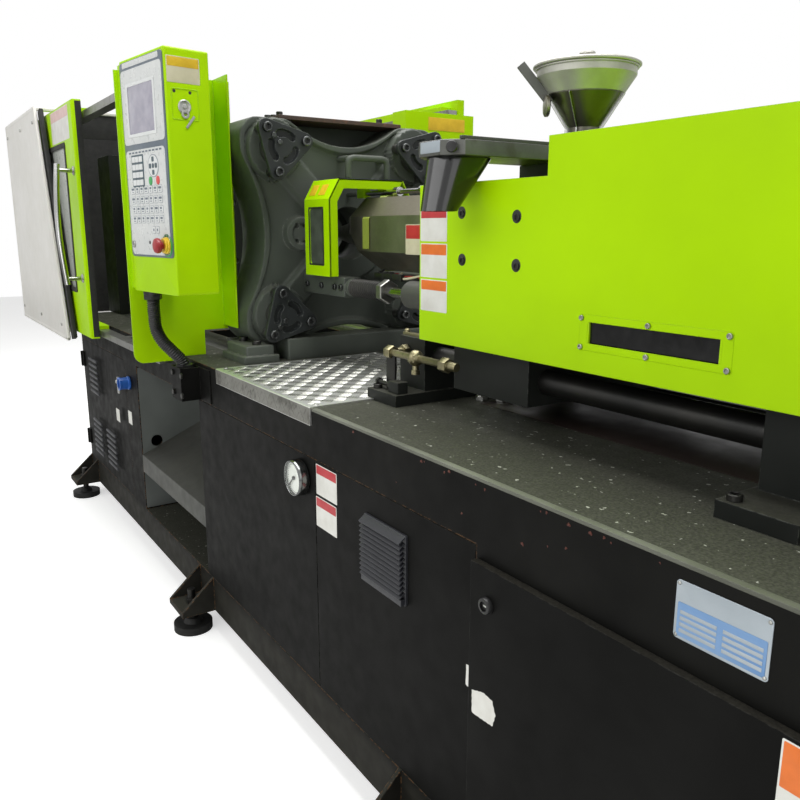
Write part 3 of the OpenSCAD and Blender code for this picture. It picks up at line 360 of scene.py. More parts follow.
def relief(tree, bsdf, place, size_mm, depth_mm, strength=0.4, normal=None, detail=3.0, stretch=(1, 1, 1)):
    """Bump on the shader from noise of size_mm grain and depth_mm height, on top of a given normal."""
    m = add(tree, "Mapping", {"Vector": (place, "Object"), "Scale": stretch})
    n = add(tree, "TexNoise", {"Vector": (m, "Vector"), "Scale": 1 / (size_mm * MM), "Detail": detail})
    b = add(tree, "Bump", {"Height": (n, "Fac"), "Strength": strength, "Distance": depth_mm * MM})
    if normal:
        tree.links.new(normal.outputs["Normal"], b.inputs["Normal"])
    tree.links.new(b.outputs["Normal"], bsdf.inputs["Normal"])


def round_edges(tree, radius_mm):
    """Normal that rounds the edges by radius_mm."""
    return add(tree, "Bevel", {"Radius": radius_mm * MM}, samples=4)


def edge_wear_and_highlight(tree, bev):
    """Mask that rises on edges, from how far the rounded normal leans off the face."""
    geo = add(tree, "NewGeometry")
    dot = add(tree, "VectorMath", {0: (bev, "Normal"), 1: (geo, "Normal")}, operation="DOT_PRODUCT")
    return add(tree, "MapRange", {"Value": (dot, "Value"), "From Min": 0.995, "From Max": 0.86})


def dress(tree, bsdf, color, grain, rough, inputs):
    """Colour, a roughness that drifts with a grain mask, and other inputs by name on the shader."""
    tree.links.new(color.outputs[0], bsdf.inputs["Base Color"])
    tree.links.new(spread(tree, grain, *rough).outputs[0], bsdf.inputs["Roughness"])
    for key, value in inputs.items():
        bsdf.inputs[key].default_value = value


def paint(name, code, patch, rough, peel_mm, depth_mm, spec=0.5, edge=None, edge_mm=2.5, dust=None, splash=None,
          fleck=None):
    """Sprayed enamel: slow tone drift between code and patch, orange-peel relief, roughness drift,
    bare or bright colour rubbed through on edges, which on the cast iron is also a painted highlight,
    dust and pale flecks that settle on faces that look up, and another tone below a height."""
    tree, bsdf, place = start(name)
    color = tint(tree, spots(tree, place, 260, 0.35, 0.7), linear(code), linear(patch))
    bev = round_edges(tree, edge_mm)
    if dust:
        tone, most = dust
        lie = lying(tree, 0.55, 1.0)
        film = times(tree, lie, spread(tree, spots(tree, place, 4, 0.35, 0.72, 8), 0.45, 1.0))
        color = tint(tree, film, (color, 0), linear(tone), most)
        if fleck:
            tone, size_mm, most = fleck
            bits = times(tree, lie, spots(tree, place, size_mm, 0.695, 0.725, 2))
            color = tint(tree, bits, (color, 0), linear(tone), most)
    # Another tone mixed in below the given height
    if splash:
        tone, height_mm, most = splash
        top = height_mm * MM
        sep = add(tree, "SeparateXYZ", {0: (place, "Object")})
        fade = add(tree, "MapRange", {"Value": (sep, "Z"), "From Min": top, "From Max": top * 0.8})
        film = times(tree, fade, spread(tree, spots(tree, place, 40, 0.3, 0.75, 7), 0.5, 1.0))
        color = tint(tree, film, (color, 0), linear(tone), most)
    # Colour on edges: rubbed wear, and on the cast iron also a painted highlight
    if edge:
        tone, size_mm, most = edge
        edge_chip_and_highlight = times(tree, edge_wear_and_highlight(tree, bev), spots(tree, place, size_mm, 0.47, 0.56, 5))
        color = tint(tree, edge_chip_and_highlight, (color, 0), linear(tone), most)
    dress(tree, bsdf, color, spots(tree, place, 45, 0.3, 0.7, 6), rough, {"Specular IOR Level": spec})
    relief(tree, bsdf, place, peel_mm, depth_mm, 0.5, bev)


def metal(name, code, patch, rough, streak=(1, 1, 1), grain_mm=6.0, metallic=1.0, stain=None, settle=None):
    """Bare metal: base tone with stained patches, grime on faces that look up, and a grain whose stretch
    gives brushing or turning."""
    tree, bsdf, place = start(name)
    color = tint(tree, spots(tree, place, 90, 0.35, 0.75, 6), linear(code), linear(patch))
    if stain:
        tone, size_mm, most = stain
        color = tint(tree, spots(tree, place, size_mm, 0.55, 0.68, 8), (color, 0), linear(tone), most)
    if settle:
        tone, most = settle
        color = tint(tree, lying(tree, 0.3, 0.65), (color, 0), linear(tone), most)
    dress(tree, bsdf, color, spots(tree, place, grain_mm, 0.3, 0.7, 5, streak), rough, {"Metallic": metallic})
    relief(tree, bsdf, place, grain_mm * 0.5, 0.05, 0.25, round_edges(tree, 1.2), 4, streak)


def plastic(name, code, patch, rough, grain_mm=0.9, depth_mm=0.03, spec=0.5, coat=0.0, ior=1.5):
    """Moulded or printed plastic: a slight tone drift, fine spark grain and handling gloss."""
    tree, bsdf, place = start(name)
    color = tint(tree, spots(tree, place, 35, 0.35, 0.7), linear(code), linear(patch))
    dress(tree, bsdf, color, spots(tree, place, 18, 0.3, 0.7, 5), rough,
          {"Specular IOR Level": spec, "Coat Weight": coat, "IOR": ior})
    relief(tree, bsdf, place, grain_mm, depth_mm, 0.35)


def glass(name):
    """Thin flat glass: nearly clear, with a mirror gloss and a trace of smears."""
    tree, bsdf, place = start(name)
    tone = add(tree, "RGB")
    tone.outputs[0].default_value = (0.95, 0.97, 0.96, 1)
    dress(tree, bsdf, tone, spots(tree, place, 25, 0.4, 0.8, 5), (0.02, 0.12),
          {"Transmission Weight": 1.0, "IOR": 1.15})


def make_finishes(col):
    """All finishes of the machine, each named for the real material, some names also telling the painted light and
    shade they carry.
    """
    # Powder-coated sheet steel: an even lime skin with a slight orange peel and pale rubbed edges
    paint("lime_powder_coat", col.lime, "#a3d100", (0.32, 0.42), 3.0, 0.10, 0.12, edge=("#c4de6a", 14, 0.55))
    # Same coat on the panel box, a little deeper and calmer
    paint("lime_panel_coat", col.lime, "#9ecb00", (0.34, 0.44), 2.6, 0.08, 0.12, edge=("#c4de6a", 18, 0.4))
    # The same coat where it runs on unbroken round the cover's window
    paint("lime_even_coat", col.lime, "#a3d100", (0.32, 0.42), 3.0, 0.10, 0.12)
    # Black textured enamel on the bed: dusty where it lies flat, chipped to brown primer on its edges, lighter below
    # 190 mm
    paint("black_bed_enamel", col.black, "#181816", (0.44, 0.60), 2.2, 0.16, 0.05,
          edge=("#7a5a3c", 9, 0.85), edge_mm=5.0, dust=("#55564c", 0.8), splash=("#34332e", 190, 0.8),
          fleck=("#a9aaa0", 11, 0.8))
    # The bed's front edge as a pale band that paints the highlight of its rounding along with some rubbed wear,
    # the primer that shows in its chips, and a darker smooth brown sheet on its top
    paint("bed_edge_highlight_and_wear", "#6c6e63", "#4b4d43", (0.36, 0.5), 2.2, 0.1, 0.3)
    paint("red_primer", "#6f4239", "#57332b", (0.5, 0.65), 2.2, 0.1, 0.2)
    paint("dark_brown_deck_enamel", "#2a2320", "#352c28", (0.34, 0.48), 9.0, 0.03, 0.22)
    # Grey enamel on the wall of the part-drop bay, its tone made lighter as painted light for the shade in the bay
    paint("grey_bay_enamel_painted_light", "#6a6e6b", "#585c59", (0.4, 0.54), 3.5, 0.08, 0.2)
    # Pressed louvres of the cabinet, worn to a dull grey
    paint("louvre_enamel", "#3e3f42", "#333437", (0.4, 0.54), 3.5, 0.08, 0.2)
    # Smooth black enamel on doors and panels
    paint("black_door_enamel", col.black, "#161615", (0.40, 0.54), 3.5, 0.08, 0.04, edge=("#4a4a46", 16, 0.5),
          dust=("#45433c", 0.5))
    # Black paint over a sand casting: lumpy, dull, with oily patches; its tone is lifted to mid grey as painted light
    # for the platen's dimly lit faces, and its pale edges are a painted highlight along with some rubbed wear
    paint("black_cast_iron_painted_light", "#454a44", "#545952", (0.34, 0.55), 7.0, 0.45, 0.2, edge=("#868a80", 20, 0.6),
          edge_mm=4.0, dust=("#4a483f", 0.6))
    # Black enamel on machined blocks: even, with bright rubbed edges and settled dust
    paint("black_block_enamel", "#1d1f1d", "#272926", (0.36, 0.52), 3.5, 0.12, 0.12, edge=("#6a6d66", 14, 0.6),
          edge_mm=2.5, dust=("#4c4b42", 0.6))
    # Phosphated plate of the tie-bar retainers, semi-gloss and oily
    paint("phosphated_plate", "#262929", "#303332", (0.30, 0.44), 4.0, 0.1, 0.25, edge=("#8b8e8a", 12, 0.7),
          edge_mm=1.6)
    # Dull grey socket screws
    metal("oily_grey_screw", "#565857", "#3f4140", (0.26, 0.42), grain_mm=3, metallic=0.9, stain=("#26241f", 10, 0.5))
    # Faded lime paint on the barrel's strap
    paint("faded_lime_strap", "#86933c", "#788436", (0.4, 0.55), 3.0, 0.1, 0.3, edge=("#5c6030", 10, 0.5))
    # Off-white enamel of the clamp cover
    paint("ivory_enamel", col.white, "#cfcdc5", (0.3, 0.42), 3.0, 0.08, 0.45, edge=("#f3f2ea", 30, 0.5))
    # Hard chrome on rods, bars and the handle: near mirror with faint haze rings
    metal("hard_chrome", "#b4b4b2", "#a2a2a0", (0.12, 0.22), (1, 6, 6), 8)
    # Ground steel of nuts, rails and sleeves
    metal("ground_steel", "#8f8f8b", "#75756f", (0.28, 0.45), (1, 5, 5), 5, stain=("#4b4236", 30, 0.5))
    # Zinc plated screws: bluish bright with dull patches
    metal("zinc_screw", "#a9aaa6", "#8b8c87", (0.25, 0.42), grain_mm=2.5, stain=("#5a5146", 12, 0.4))
    # Blackened steel screws, oily
    metal("black_oxide_steel", "#2b2b2a", "#3a3936", (0.32, 0.5), grain_mm=3, metallic=0.85)
    # Bead-blasted and walked-on aluminium tread sheet
    metal("tread_aluminium", "#686862", "#595852", (0.38, 0.58), grain_mm=9, stain=("#4a4740", 55, 0.6))
    # Folded edge of the tread sheet, scuffed dull
    metal("tread_fold_aluminium", "#83837d", "#6f6e68", (0.42, 0.6), grain_mm=9, stain=("#3a3832", 40, 0.6),
          metallic=0.7)
    # Rolled bars of the tread sheet, polished by boots
    metal("tread_bar_aluminium", "#a0a09a", "#8b8b84", (0.26, 0.42), grain_mm=9, stain=("#6f6b62", 60, 0.4))
    # Chromed case of the gauge
    metal("gauge_chrome", "#7d7f7e", "#666867", (0.1, 0.2), grain_mm=9)
    # Stainless barrel cover: dull, olive from oil smoke, brushed along its length, dusty on top
    metal("oily_stainless", "#8a887b", "#6f6d5f", (0.34, 0.52), (0.25, 4, 4), 4, stain=("#4e4b3d", 70, 0.6),
          settle=("#5d5847", 0.8))
    # Spun stainless of the hopper
    metal("spun_stainless", "#aeada6", "#94938a", (0.4, 0.55), (3, 3, 0.4), 4, metallic=0.75)
    # Darker stainless of the hopper's lower cone
    metal("dark_stainless", "#5f5d55", "#4a4841", (0.28, 0.45), (3, 3, 0.4), 5, stain=("#2d2b26", 40, 0.5))
    # Machined grey steel of the slide plate
    metal("machined_steel", "#62635f", "#4e4f4b", (0.34, 0.5), (5, 1, 1), 4, stain=("#45423a", 40, 0.5))
    # Tarnished brass of pipes and ball joints
    metal("tarnished_brass", "#8b8568", "#6f6a51", (0.3, 0.5), grain_mm=3, stain=("#4b4532", 15, 0.6))
    # Rusted flat bar on the platen's top
    metal("rusty_flat_bar", "#4e3a30", "#39302b", (0.6, 0.85), grain_mm=4, metallic=0.25, stain=("#6d4630", 18, 0.7))
    # Acrylic and polycarbonate sheets
    plastic("smoked_polycarbonate", "#434842", "#525850", (0.08, 0.2), 2.5, 0.02, 0.5, 0.2, 1.58)
    plastic("frosted_polycarbonate", "#9fa39c", "#b1b5ae", (0.25, 0.4), 2.5, 0.02, 0.5, 0.1, 1.58)
    plastic("black_acrylic", "#0b0b0b", "#151515", (0.1, 0.22), 2.5, 0.02, 0.4, 0.0, 1.49)
    # Operator panel: printed polyester foil, its keys, and the idle display
    plastic("panel_foil_white", "#cfd1cf", "#c6c9c8", (0.24, 0.36))
    plastic("panel_foil_slate", "#5d6873", "#54606b", (0.3, 0.42))
    for name, code, patch in (("key_foil_pale", "#dadcdb", "#d2d5d4"), ("key_foil_grey", "#8d959a", "#838b90"),
                              ("key_foil_teal", "#3d5159", "#36484f"), ("key_green", "#2f9a4c", "#2a8a44"),
                              ("key_red", "#d8433f", "#c23a37")):
        plastic(name, code, patch, (0.3, 0.45))
    plastic("display_glass", "#8d8a99", "#a3a0ad", (0.06, 0.16), 6, 0.01, 0.5, 0.4)
    # Moulded plastics and rubber
    plastic("moulded_red", "#9c1c22", "#87161c", (0.28, 0.42))
    plastic("moulded_yellow", "#e2bd1c", "#d3ad12", (0.3, 0.45))
    plastic("moulded_blue", "#2c63b8", "#2556a4", (0.28, 0.42))
    plastic("moulded_black", "#141414", "#1d1d1d", (0.3, 0.5), 1.2, 0.05, 0.4)
    plastic("vent_plastic", "#2c2d31", "#242529", (0.34, 0.5), 1.2, 0.05, 0.4)
    plastic("polished_black_plastic", "#101010", "#181818", (0.12, 0.26), 3, 0.03, 0.5, 0.2)
    plastic("black_rubber", "#171716", "#222220", (0.55, 0.75), 1.5, 0.08, 0.3)
    # Bare sticker stock and its plain colour fields
    for name, code, patch in (("sticker_white", "#dcdcd6", "#cfcec6"), ("sticker_red", "#b92b33", "#a8242c"),
                              ("sticker_orange", "#e0701c", "#d0640f"), ("sticker_yellow", "#dcb726", "#cda81b"),
                              ("sticker_rose", "#d9b9b4", "#cfaea9")):
        plastic(name, code, patch, (0.35, 0.5))
    plastic("sticker_cream", "#cfc9ac", "#c2bc9e", (0.4, 0.55))
    # Blank rating plate: etched aluminium with a printed blue field
    metal("printed_blue_plate", "#5f86b4", "#7c9cc2", (0.32, 0.45), grain_mm=4, metallic=0.35)
    metal("etched_aluminium", "#aab2b8", "#98a1a8", (0.3, 0.42), grain_mm=3, metallic=0.8)
    # Dial card, its black print, which also paints the shade inside holes, slots and vents, and the oil behind the
    # sight glass
    plastic("dial_card", "#e6e6e0", "#dcdcd5", (0.35, 0.5))
    plastic("dial_black_and_hole_shade", "#141414", "#1a1a1a", (0.4, 0.55))
    plastic("sight_oil", "#8a6a1e", "#7c5d16", (0.08, 0.18), 3, 0.02, 0.5, 0.3)
    # Gear-grey enamel of motors and cylinders
    paint("grey_motor_enamel", "#5b686c", "#52605f", (0.35, 0.5), 3.0, 0.1, 0.4, edge=("#8a9090", 12, 0.5))
    paint("graphite_enamel", "#3b3c39", "#454641", (0.40, 0.56), 3.0, 0.12, 0.25, edge=("#6a6a66", 12, 0.5),
          dust=("#4a4841", 0.35))
    # Thin glass of the gauge
    glass("clear_dial_glass")


FINISH_NODES = {
    "black_bed_enamel": ("bed_frame",),
    "black_rubber": ("level_pads",),
    "black_oxide_steel": ("level_studs", "guide_bars"),
    "tread_aluminium": ("tread_plate",),
    "black_door_enamel": ("front_panel", "vent_panel", "pump_door", "elec_door", "hose_bracket"),
    "moulded_black": ("vent_grille", "panel_hose"),
    "spun_stainless": ("pressure_gauge", "hopper", "hopper_lid"),
    "dial_black_and_hole_shade": ("gauge_needle",),
    "zinc_screw": ("door_lock", "retainer_bolts"),
    "moulded_blue": ("power_socket",),
    "etched_aluminium": ("elec_plate",),
    "graphite_enamel": ("drop_chute", "retainer_plates", "clamp_cylinder", "cylinder_set"),
    "grey_motor_enamel": ("pump_unit", "hydraulic_motor"),
    "black_cast_iron_painted_light": ("fixed_platen", "lift_bail"),
    "hard_chrome": ("tie_bars", "clamp_ram", "gate_handle", "carriage_rods", "stop_rod"),
    "ground_steel": ("tie_nuts", "ejector", "gate_rails", "barrel", "screw"),
    "rusty_flat_bar": ("top_plate",),
    "black_block_enamel": ("moving_platen", "tail_platen", "seat_blocks", "carriage_housing", "injection_plate"),
    "lime_powder_coat": ("front_gate", "rear_gate", "panel_post", "rear_post", "injection_cover", "purge_guard"),
    "frosted_polycarbonate": ("gate_window",),
    "ivory_enamel": ("clamp_covers",),
    "lime_panel_coat": ("panel_box",),
    "panel_foil_white": ("panel_face",),
    "moulded_red": ("e_stop",),
    "oily_stainless": ("barrel_cover",),
    "black_acrylic": ("cover_window",),
    "machined_steel": ("hopper_slide",),
    "smoked_polycarbonate": ("guard_window",),
    "tarnished_brass": ("pipe_fittings",),
}


class FinishColours(bpy.types.PropertyGroup):
    """Main colours of the machine as sRGB hex values."""
    lime: bpy.props.StringProperty(name="Lime", description="Powder coat of guards and covers", default="#abdb00")
    black: bpy.props.StringProperty(name="Black", description="Enamel of the bed and its doors", default="#0e0e0d")
    white: bpy.props.StringProperty(name="White", description="Enamel of the clamp cover", default="#d9d7d1")


class MachineSizes(bpy.types.PropertyGroup):
    """Sizes of the visible details that a user may change."""
    bar_pitch: bpy.props.FloatProperty(name="Tread pitch", description="Spacing of the tread plate's bar groups",
                                       default=0.034, unit="LENGTH")
    conduit_pitch: bpy.props.FloatProperty(name="Conduit pitch", description="Spacing of the conduit's ribs",
                                           default=0.006, unit="LENGTH")
    lens: bpy.props.FloatProperty(name="Lens", description="Focal length of the camera in millimetres", default=35.0)


class MACHINE_OT_finishes(bpy.types.Operator):
    """Make the finishes and put them on the frame's own parts"""
    bl_idname = "machine.finishes"
    bl_label = "Finishes"

    def execute(self, context):
        make_finishes(context.scene.machine_colours)
        for finish, nodes in FINISH_NODES.items():
            mat = bpy.data.materials[finish]
            for obj in [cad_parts[node] for node in nodes]:
                if not obj.material_slots:
                    obj.data.materials.append(mat)
                for s in obj.material_slots:
                    s.material = mat
        return {"FINISHED"}


# Lamps: name, place, aim, size in metres, power in watts
LAMPS = [
    ("operator_side", (0.6, -4.6, 3.6), (0.2, 0, 1.0), (6.0, 2.6), 120),
    ("ceiling", (-0.2, 0.3, 5.2), (-0.2, 0, 0), (6.0, 3.0), 400),
    ("injection_end", (5.2, -0.6, 2.6), (0, 0, 1.0), (2.4, 2.4), 18),
    ("floor_bounce", (2.4, -3.4, 0.7), (-0.5, -0.2, 0.5), (2.0, 1.0), 18),
]


class MACHINE_OT_stage(bpy.types.Operator):
    """Camera at the photograph's view, pale floor, soft lamps and white surround"""
    bl_idname = "machine.stage"
    bl_label = "Stage"

    def execute(self, context):
        self.camera(context.scene)
        self.floor(context.scene)
        self.lamps(context.scene)
        self.surround(context.scene)
        context.scene.view_settings.view_transform = "Standard"
        return {"FINISHED"}

    def camera(self, scene):
        """Camera where the photograph was taken from."""
        cam = bpy.data.cameras.new("camera")
        cam.lens = scene.machine_sizes.lens
        cam.sensor_width = 36.0
        cam.clip_end = 100.0
        eye = bpy.data.objects.new("camera", cam)
        eye.location = (2.136, -1.249, 1.250)
        eye.rotation_euler = (math.radians(77.53), 0, math.radians(56.5))
        scene.collection.objects.link(eye)
        scene.camera = eye

    def floor(self, scene):
        """Pale floor just under the pads, lifted towards white where the camera sees it."""
        tree, bsdf, place = start("pale_studio_floor")
        tone = tint(tree, spots(tree, place, 900, 0.3, 0.7), linear("#e9e9e7"), linear("#efefed"))
        tree.links.new(tone.outputs[0], bsdf.inputs["Base Color"])
        bsdf.inputs["Roughness"].default_value = 0.8
        bsdf.inputs["Specular IOR Level"].default_value = 0.1
        path = add(tree, "LightPath")
        glow = add(tree, "Math", {0: (path, "Is Camera Ray"), 1: 0.55}, operation="MULTIPLY")
        bsdf.inputs["Emission Color"].default_value = (1, 1, 1, 1)
        tree.links.new(glow.outputs[0], bsdf.inputs["Emission Strength"])
        half, n, level = 14, 41, -0.0005
        a = np.linspace(-1, 1, n) * half
        gx, gy = np.meshgrid(a, a, indexing="ij")
        pts = np.stack([gx, gy, np.full_like(gx, level)], -1).reshape(-1, 3)
        mesh = bpy.data.meshes.new("floor")
        mesh.from_pydata(pts.tolist(), [], grid(n, n, False)[:, ::-1].tolist())
        mesh.materials.append(bpy.data.materials["pale_studio_floor"])
        ground = bpy.data.objects.new("floor", mesh)
        scene.collection.objects.link(ground)

    def lamps(self, scene):
        """Soft rectangular lamps, each turned to its aim."""
        for name, where, aim, size, power in LAMPS:
            lamp = bpy.data.lights.new(name, "AREA")
            lamp.shape = "RECTANGLE"
            lamp.size, lamp.size_y = size
            lamp.energy = power
            obj = bpy.data.objects.new(name, lamp)
            obj.location = where
            x, y, z = np.array(aim, float) - np.array(where, float)
            obj.rotation_euler = (math.atan2(math.hypot(x, y), -z), 0, math.atan2(-x, y))
            scene.collection.objects.link(obj)

    def surround(self, scene):
        """White world, full where it is seen or mirrored and dim as a light."""
        world = bpy.data.worlds.new("studio")
        scene.world = world
        world.use_nodes = True
        tree = world.node_tree
        tree.nodes.clear()
        ray = add(tree, "LightPath")
        seen = add(tree, "Math", {0: (ray, "Is Camera Ray"), 1: (ray, "Is Transmission Ray")}, operation="MAXIMUM")
        seen = add(tree, "Math", {0: (seen, 0), 1: (ray, "Is Glossy Ray")}, operation="MAXIMUM")
        back = add(tree, "Background", {"Color": (1, 1, 1, 1), "Strength": (spread(tree, seen, 0.2, 1.0), 0)})
        add(tree, "OutputWorld", {"Surface": (back, 0)})


def ring_plate(a, b, r, hole, t, edge=0.6):
    """Plate with a window: outer and inner rounded outlines joined ring by ring round the section."""
    cx, cy, ai, bi, ri = hole
    o, i = rounded(a, b, r), rounded(ai, bi, ri) + (cx, cy)
    o2, i2 = rounded(a - edge, b - edge, r), rounded(ai + edge, bi + edge, ri) + (cx, cy)
    rings = [(o, 0), (o, t - edge), (o2, t), (i2, t), (i, t - edge), (i, 0), (o, 0)]
    return np.concatenate([np.c_[p, np.full(len(p), z)] for p, z in rings]), grid(len(rings), len(o))


def shell_strip(outer, inner, s0, s1):
    """Strip between two lines of equal count, drawn out from s0 to s1 along the third axis."""
    n = len(outer)
    ring = np.stack([np.c_[outer, np.full(n, s0)], np.c_[outer, np.full(n, s1)],
                     np.c_[inner, np.full(n, s1)], np.c_[inner, np.full(n, s0)]], 1)
    last = 4 * n - 1
    return ring.reshape(-1, 3), np.concatenate([grid(n, 4), [[0, 1, 2, 3]], [[last, last - 1, last - 2, last - 3]]])


def folded(line, t, s0, s1):
    """Bent sheet: a line in the first two axes, thickened by t to its left, drawn out from s0 to s1."""
    p = np.array(line, float)
    d = np.gradient(p, axis=0)
    d /= np.linalg.norm(d, axis=1)[:, None]
    return shell_strip(p, p + t * np.stack([-d[:, 1], d[:, 0]], -1), s0, s1)


def polar_radius(points, ang):
    """Distance from the middle to a closed outline in each direction, read off the outline's points."""
    p = np.array(points, float)
    a = np.arctan2(p[:, 1], p[:, 0])
    k = np.argsort(a)
    return np.interp(ang, a[k], np.hypot(p[k, 0], p[k, 1]), period=2 * np.pi)


def polygon_radius(points, ang):
    """Distance from the middle to a convex outline given anticlockwise: the least of c / (n . d) over its sides."""
    p = np.array(points, float)
    side = np.roll(p, -1, 0) - p
    n = np.stack([side[:, 1], -side[:, 0]], -1)
    reach = n @ np.stack([np.cos(ang), np.sin(ang)])
    return ((n * p).sum(1)[:, None] / np.maximum(reach, 1e-6)).min(0)


def step(x, w):
    """Smooth rise from 0 to 1 as x goes from -w/2 to w/2: 3s^2 - 2s^3."""
    s = np.clip(x / w + 0.5, 0, 1)
    return s * s * (3 - 2 * s)


def field_plate(radius, height, nr, base=0.0, edge=1.0):
    """Plate over polar rays: ray length radius(angle), front height(u, v) sampled on nr rings that
    shrink to the middle, a rounded rim, straight sides down to base and a flat back."""
    n = len(radius)
    ang = turns(n)
    r = np.linspace(0, 1, nr)[:, None] * (radius - edge)[None]
    u, v = r * np.cos(ang), r * np.sin(ang)
    face = np.stack([u, v, height(u, v)], -1)
    rim_h = face[-1, :, 2]
    ring = lambda d, h: np.stack([(radius - d) * np.cos(ang), (radius - d) * np.sin(ang), h], -1)[None]
    low = np.full(n, base)
    pts = np.concatenate([face, ring(0.3 * edge, rim_h - 0.3 * edge), ring(0, rim_h - edge), ring(0, low),
                          ring(radius, low)])
    return pts.reshape(-1, 3), grid(len(pts), n)


def louvre_bank(n, pitch=24.0, half=76.0):
    """Column of n pressed louvres: rounded bars of the given half length, stacked at a pitch."""
    return many(slab(half, 6.5, 6, 6, 4.5), [on_top(0, pitch * k, 0) for k in range(n)])


def finned(r0, r1, n, h):
    """Drum with n square fins: the radius steps between r0 and r1 round the axis, drawn out by h."""
    a = turns(4 * n)
    r = np.where(np.arange(4 * n) % 4 < 2, r1, r0)
    rings = [np.stack([k * r * np.cos(a), k * r * np.sin(a), np.full(4 * n, z)], -1)
             for k, z in ((0, 0), (1, 0), (1, h), (0, h))]
    return np.concatenate(rings), grid(4, 4 * n)


def label(name, place, w, h, band, body, under="sticker_white", share=0.34):
    """Blank sticker: a thin plate with one plain colour field across its top."""
    o = np.array(place["origin"], float)
    up = np.array(place["v"], float)
    put(name, at(slab(w / 2, h / 2, 2, 0.5, 0.2), **place), under, "white_paint", body=body)
    b = dict(place, origin=o + up * (h / 2 - h * share / 2))
    field = slab(w / 2 - 2.4, h * share / 2 - 2.0, 1.5, 0.8, 0.2)
    put(name + "_band", at(field, **b), band, "white_paint", body=body)


def tile(size, x, z, out):
    """Plate of the given slab sizes on the operator panel's face."""
    return at(slab(*size), **panel(x, z, out))


def panel_piece(name, shape, finish):
    """Piece of the operator panel's face."""
    return put(name, shape, finish, "panel_white")


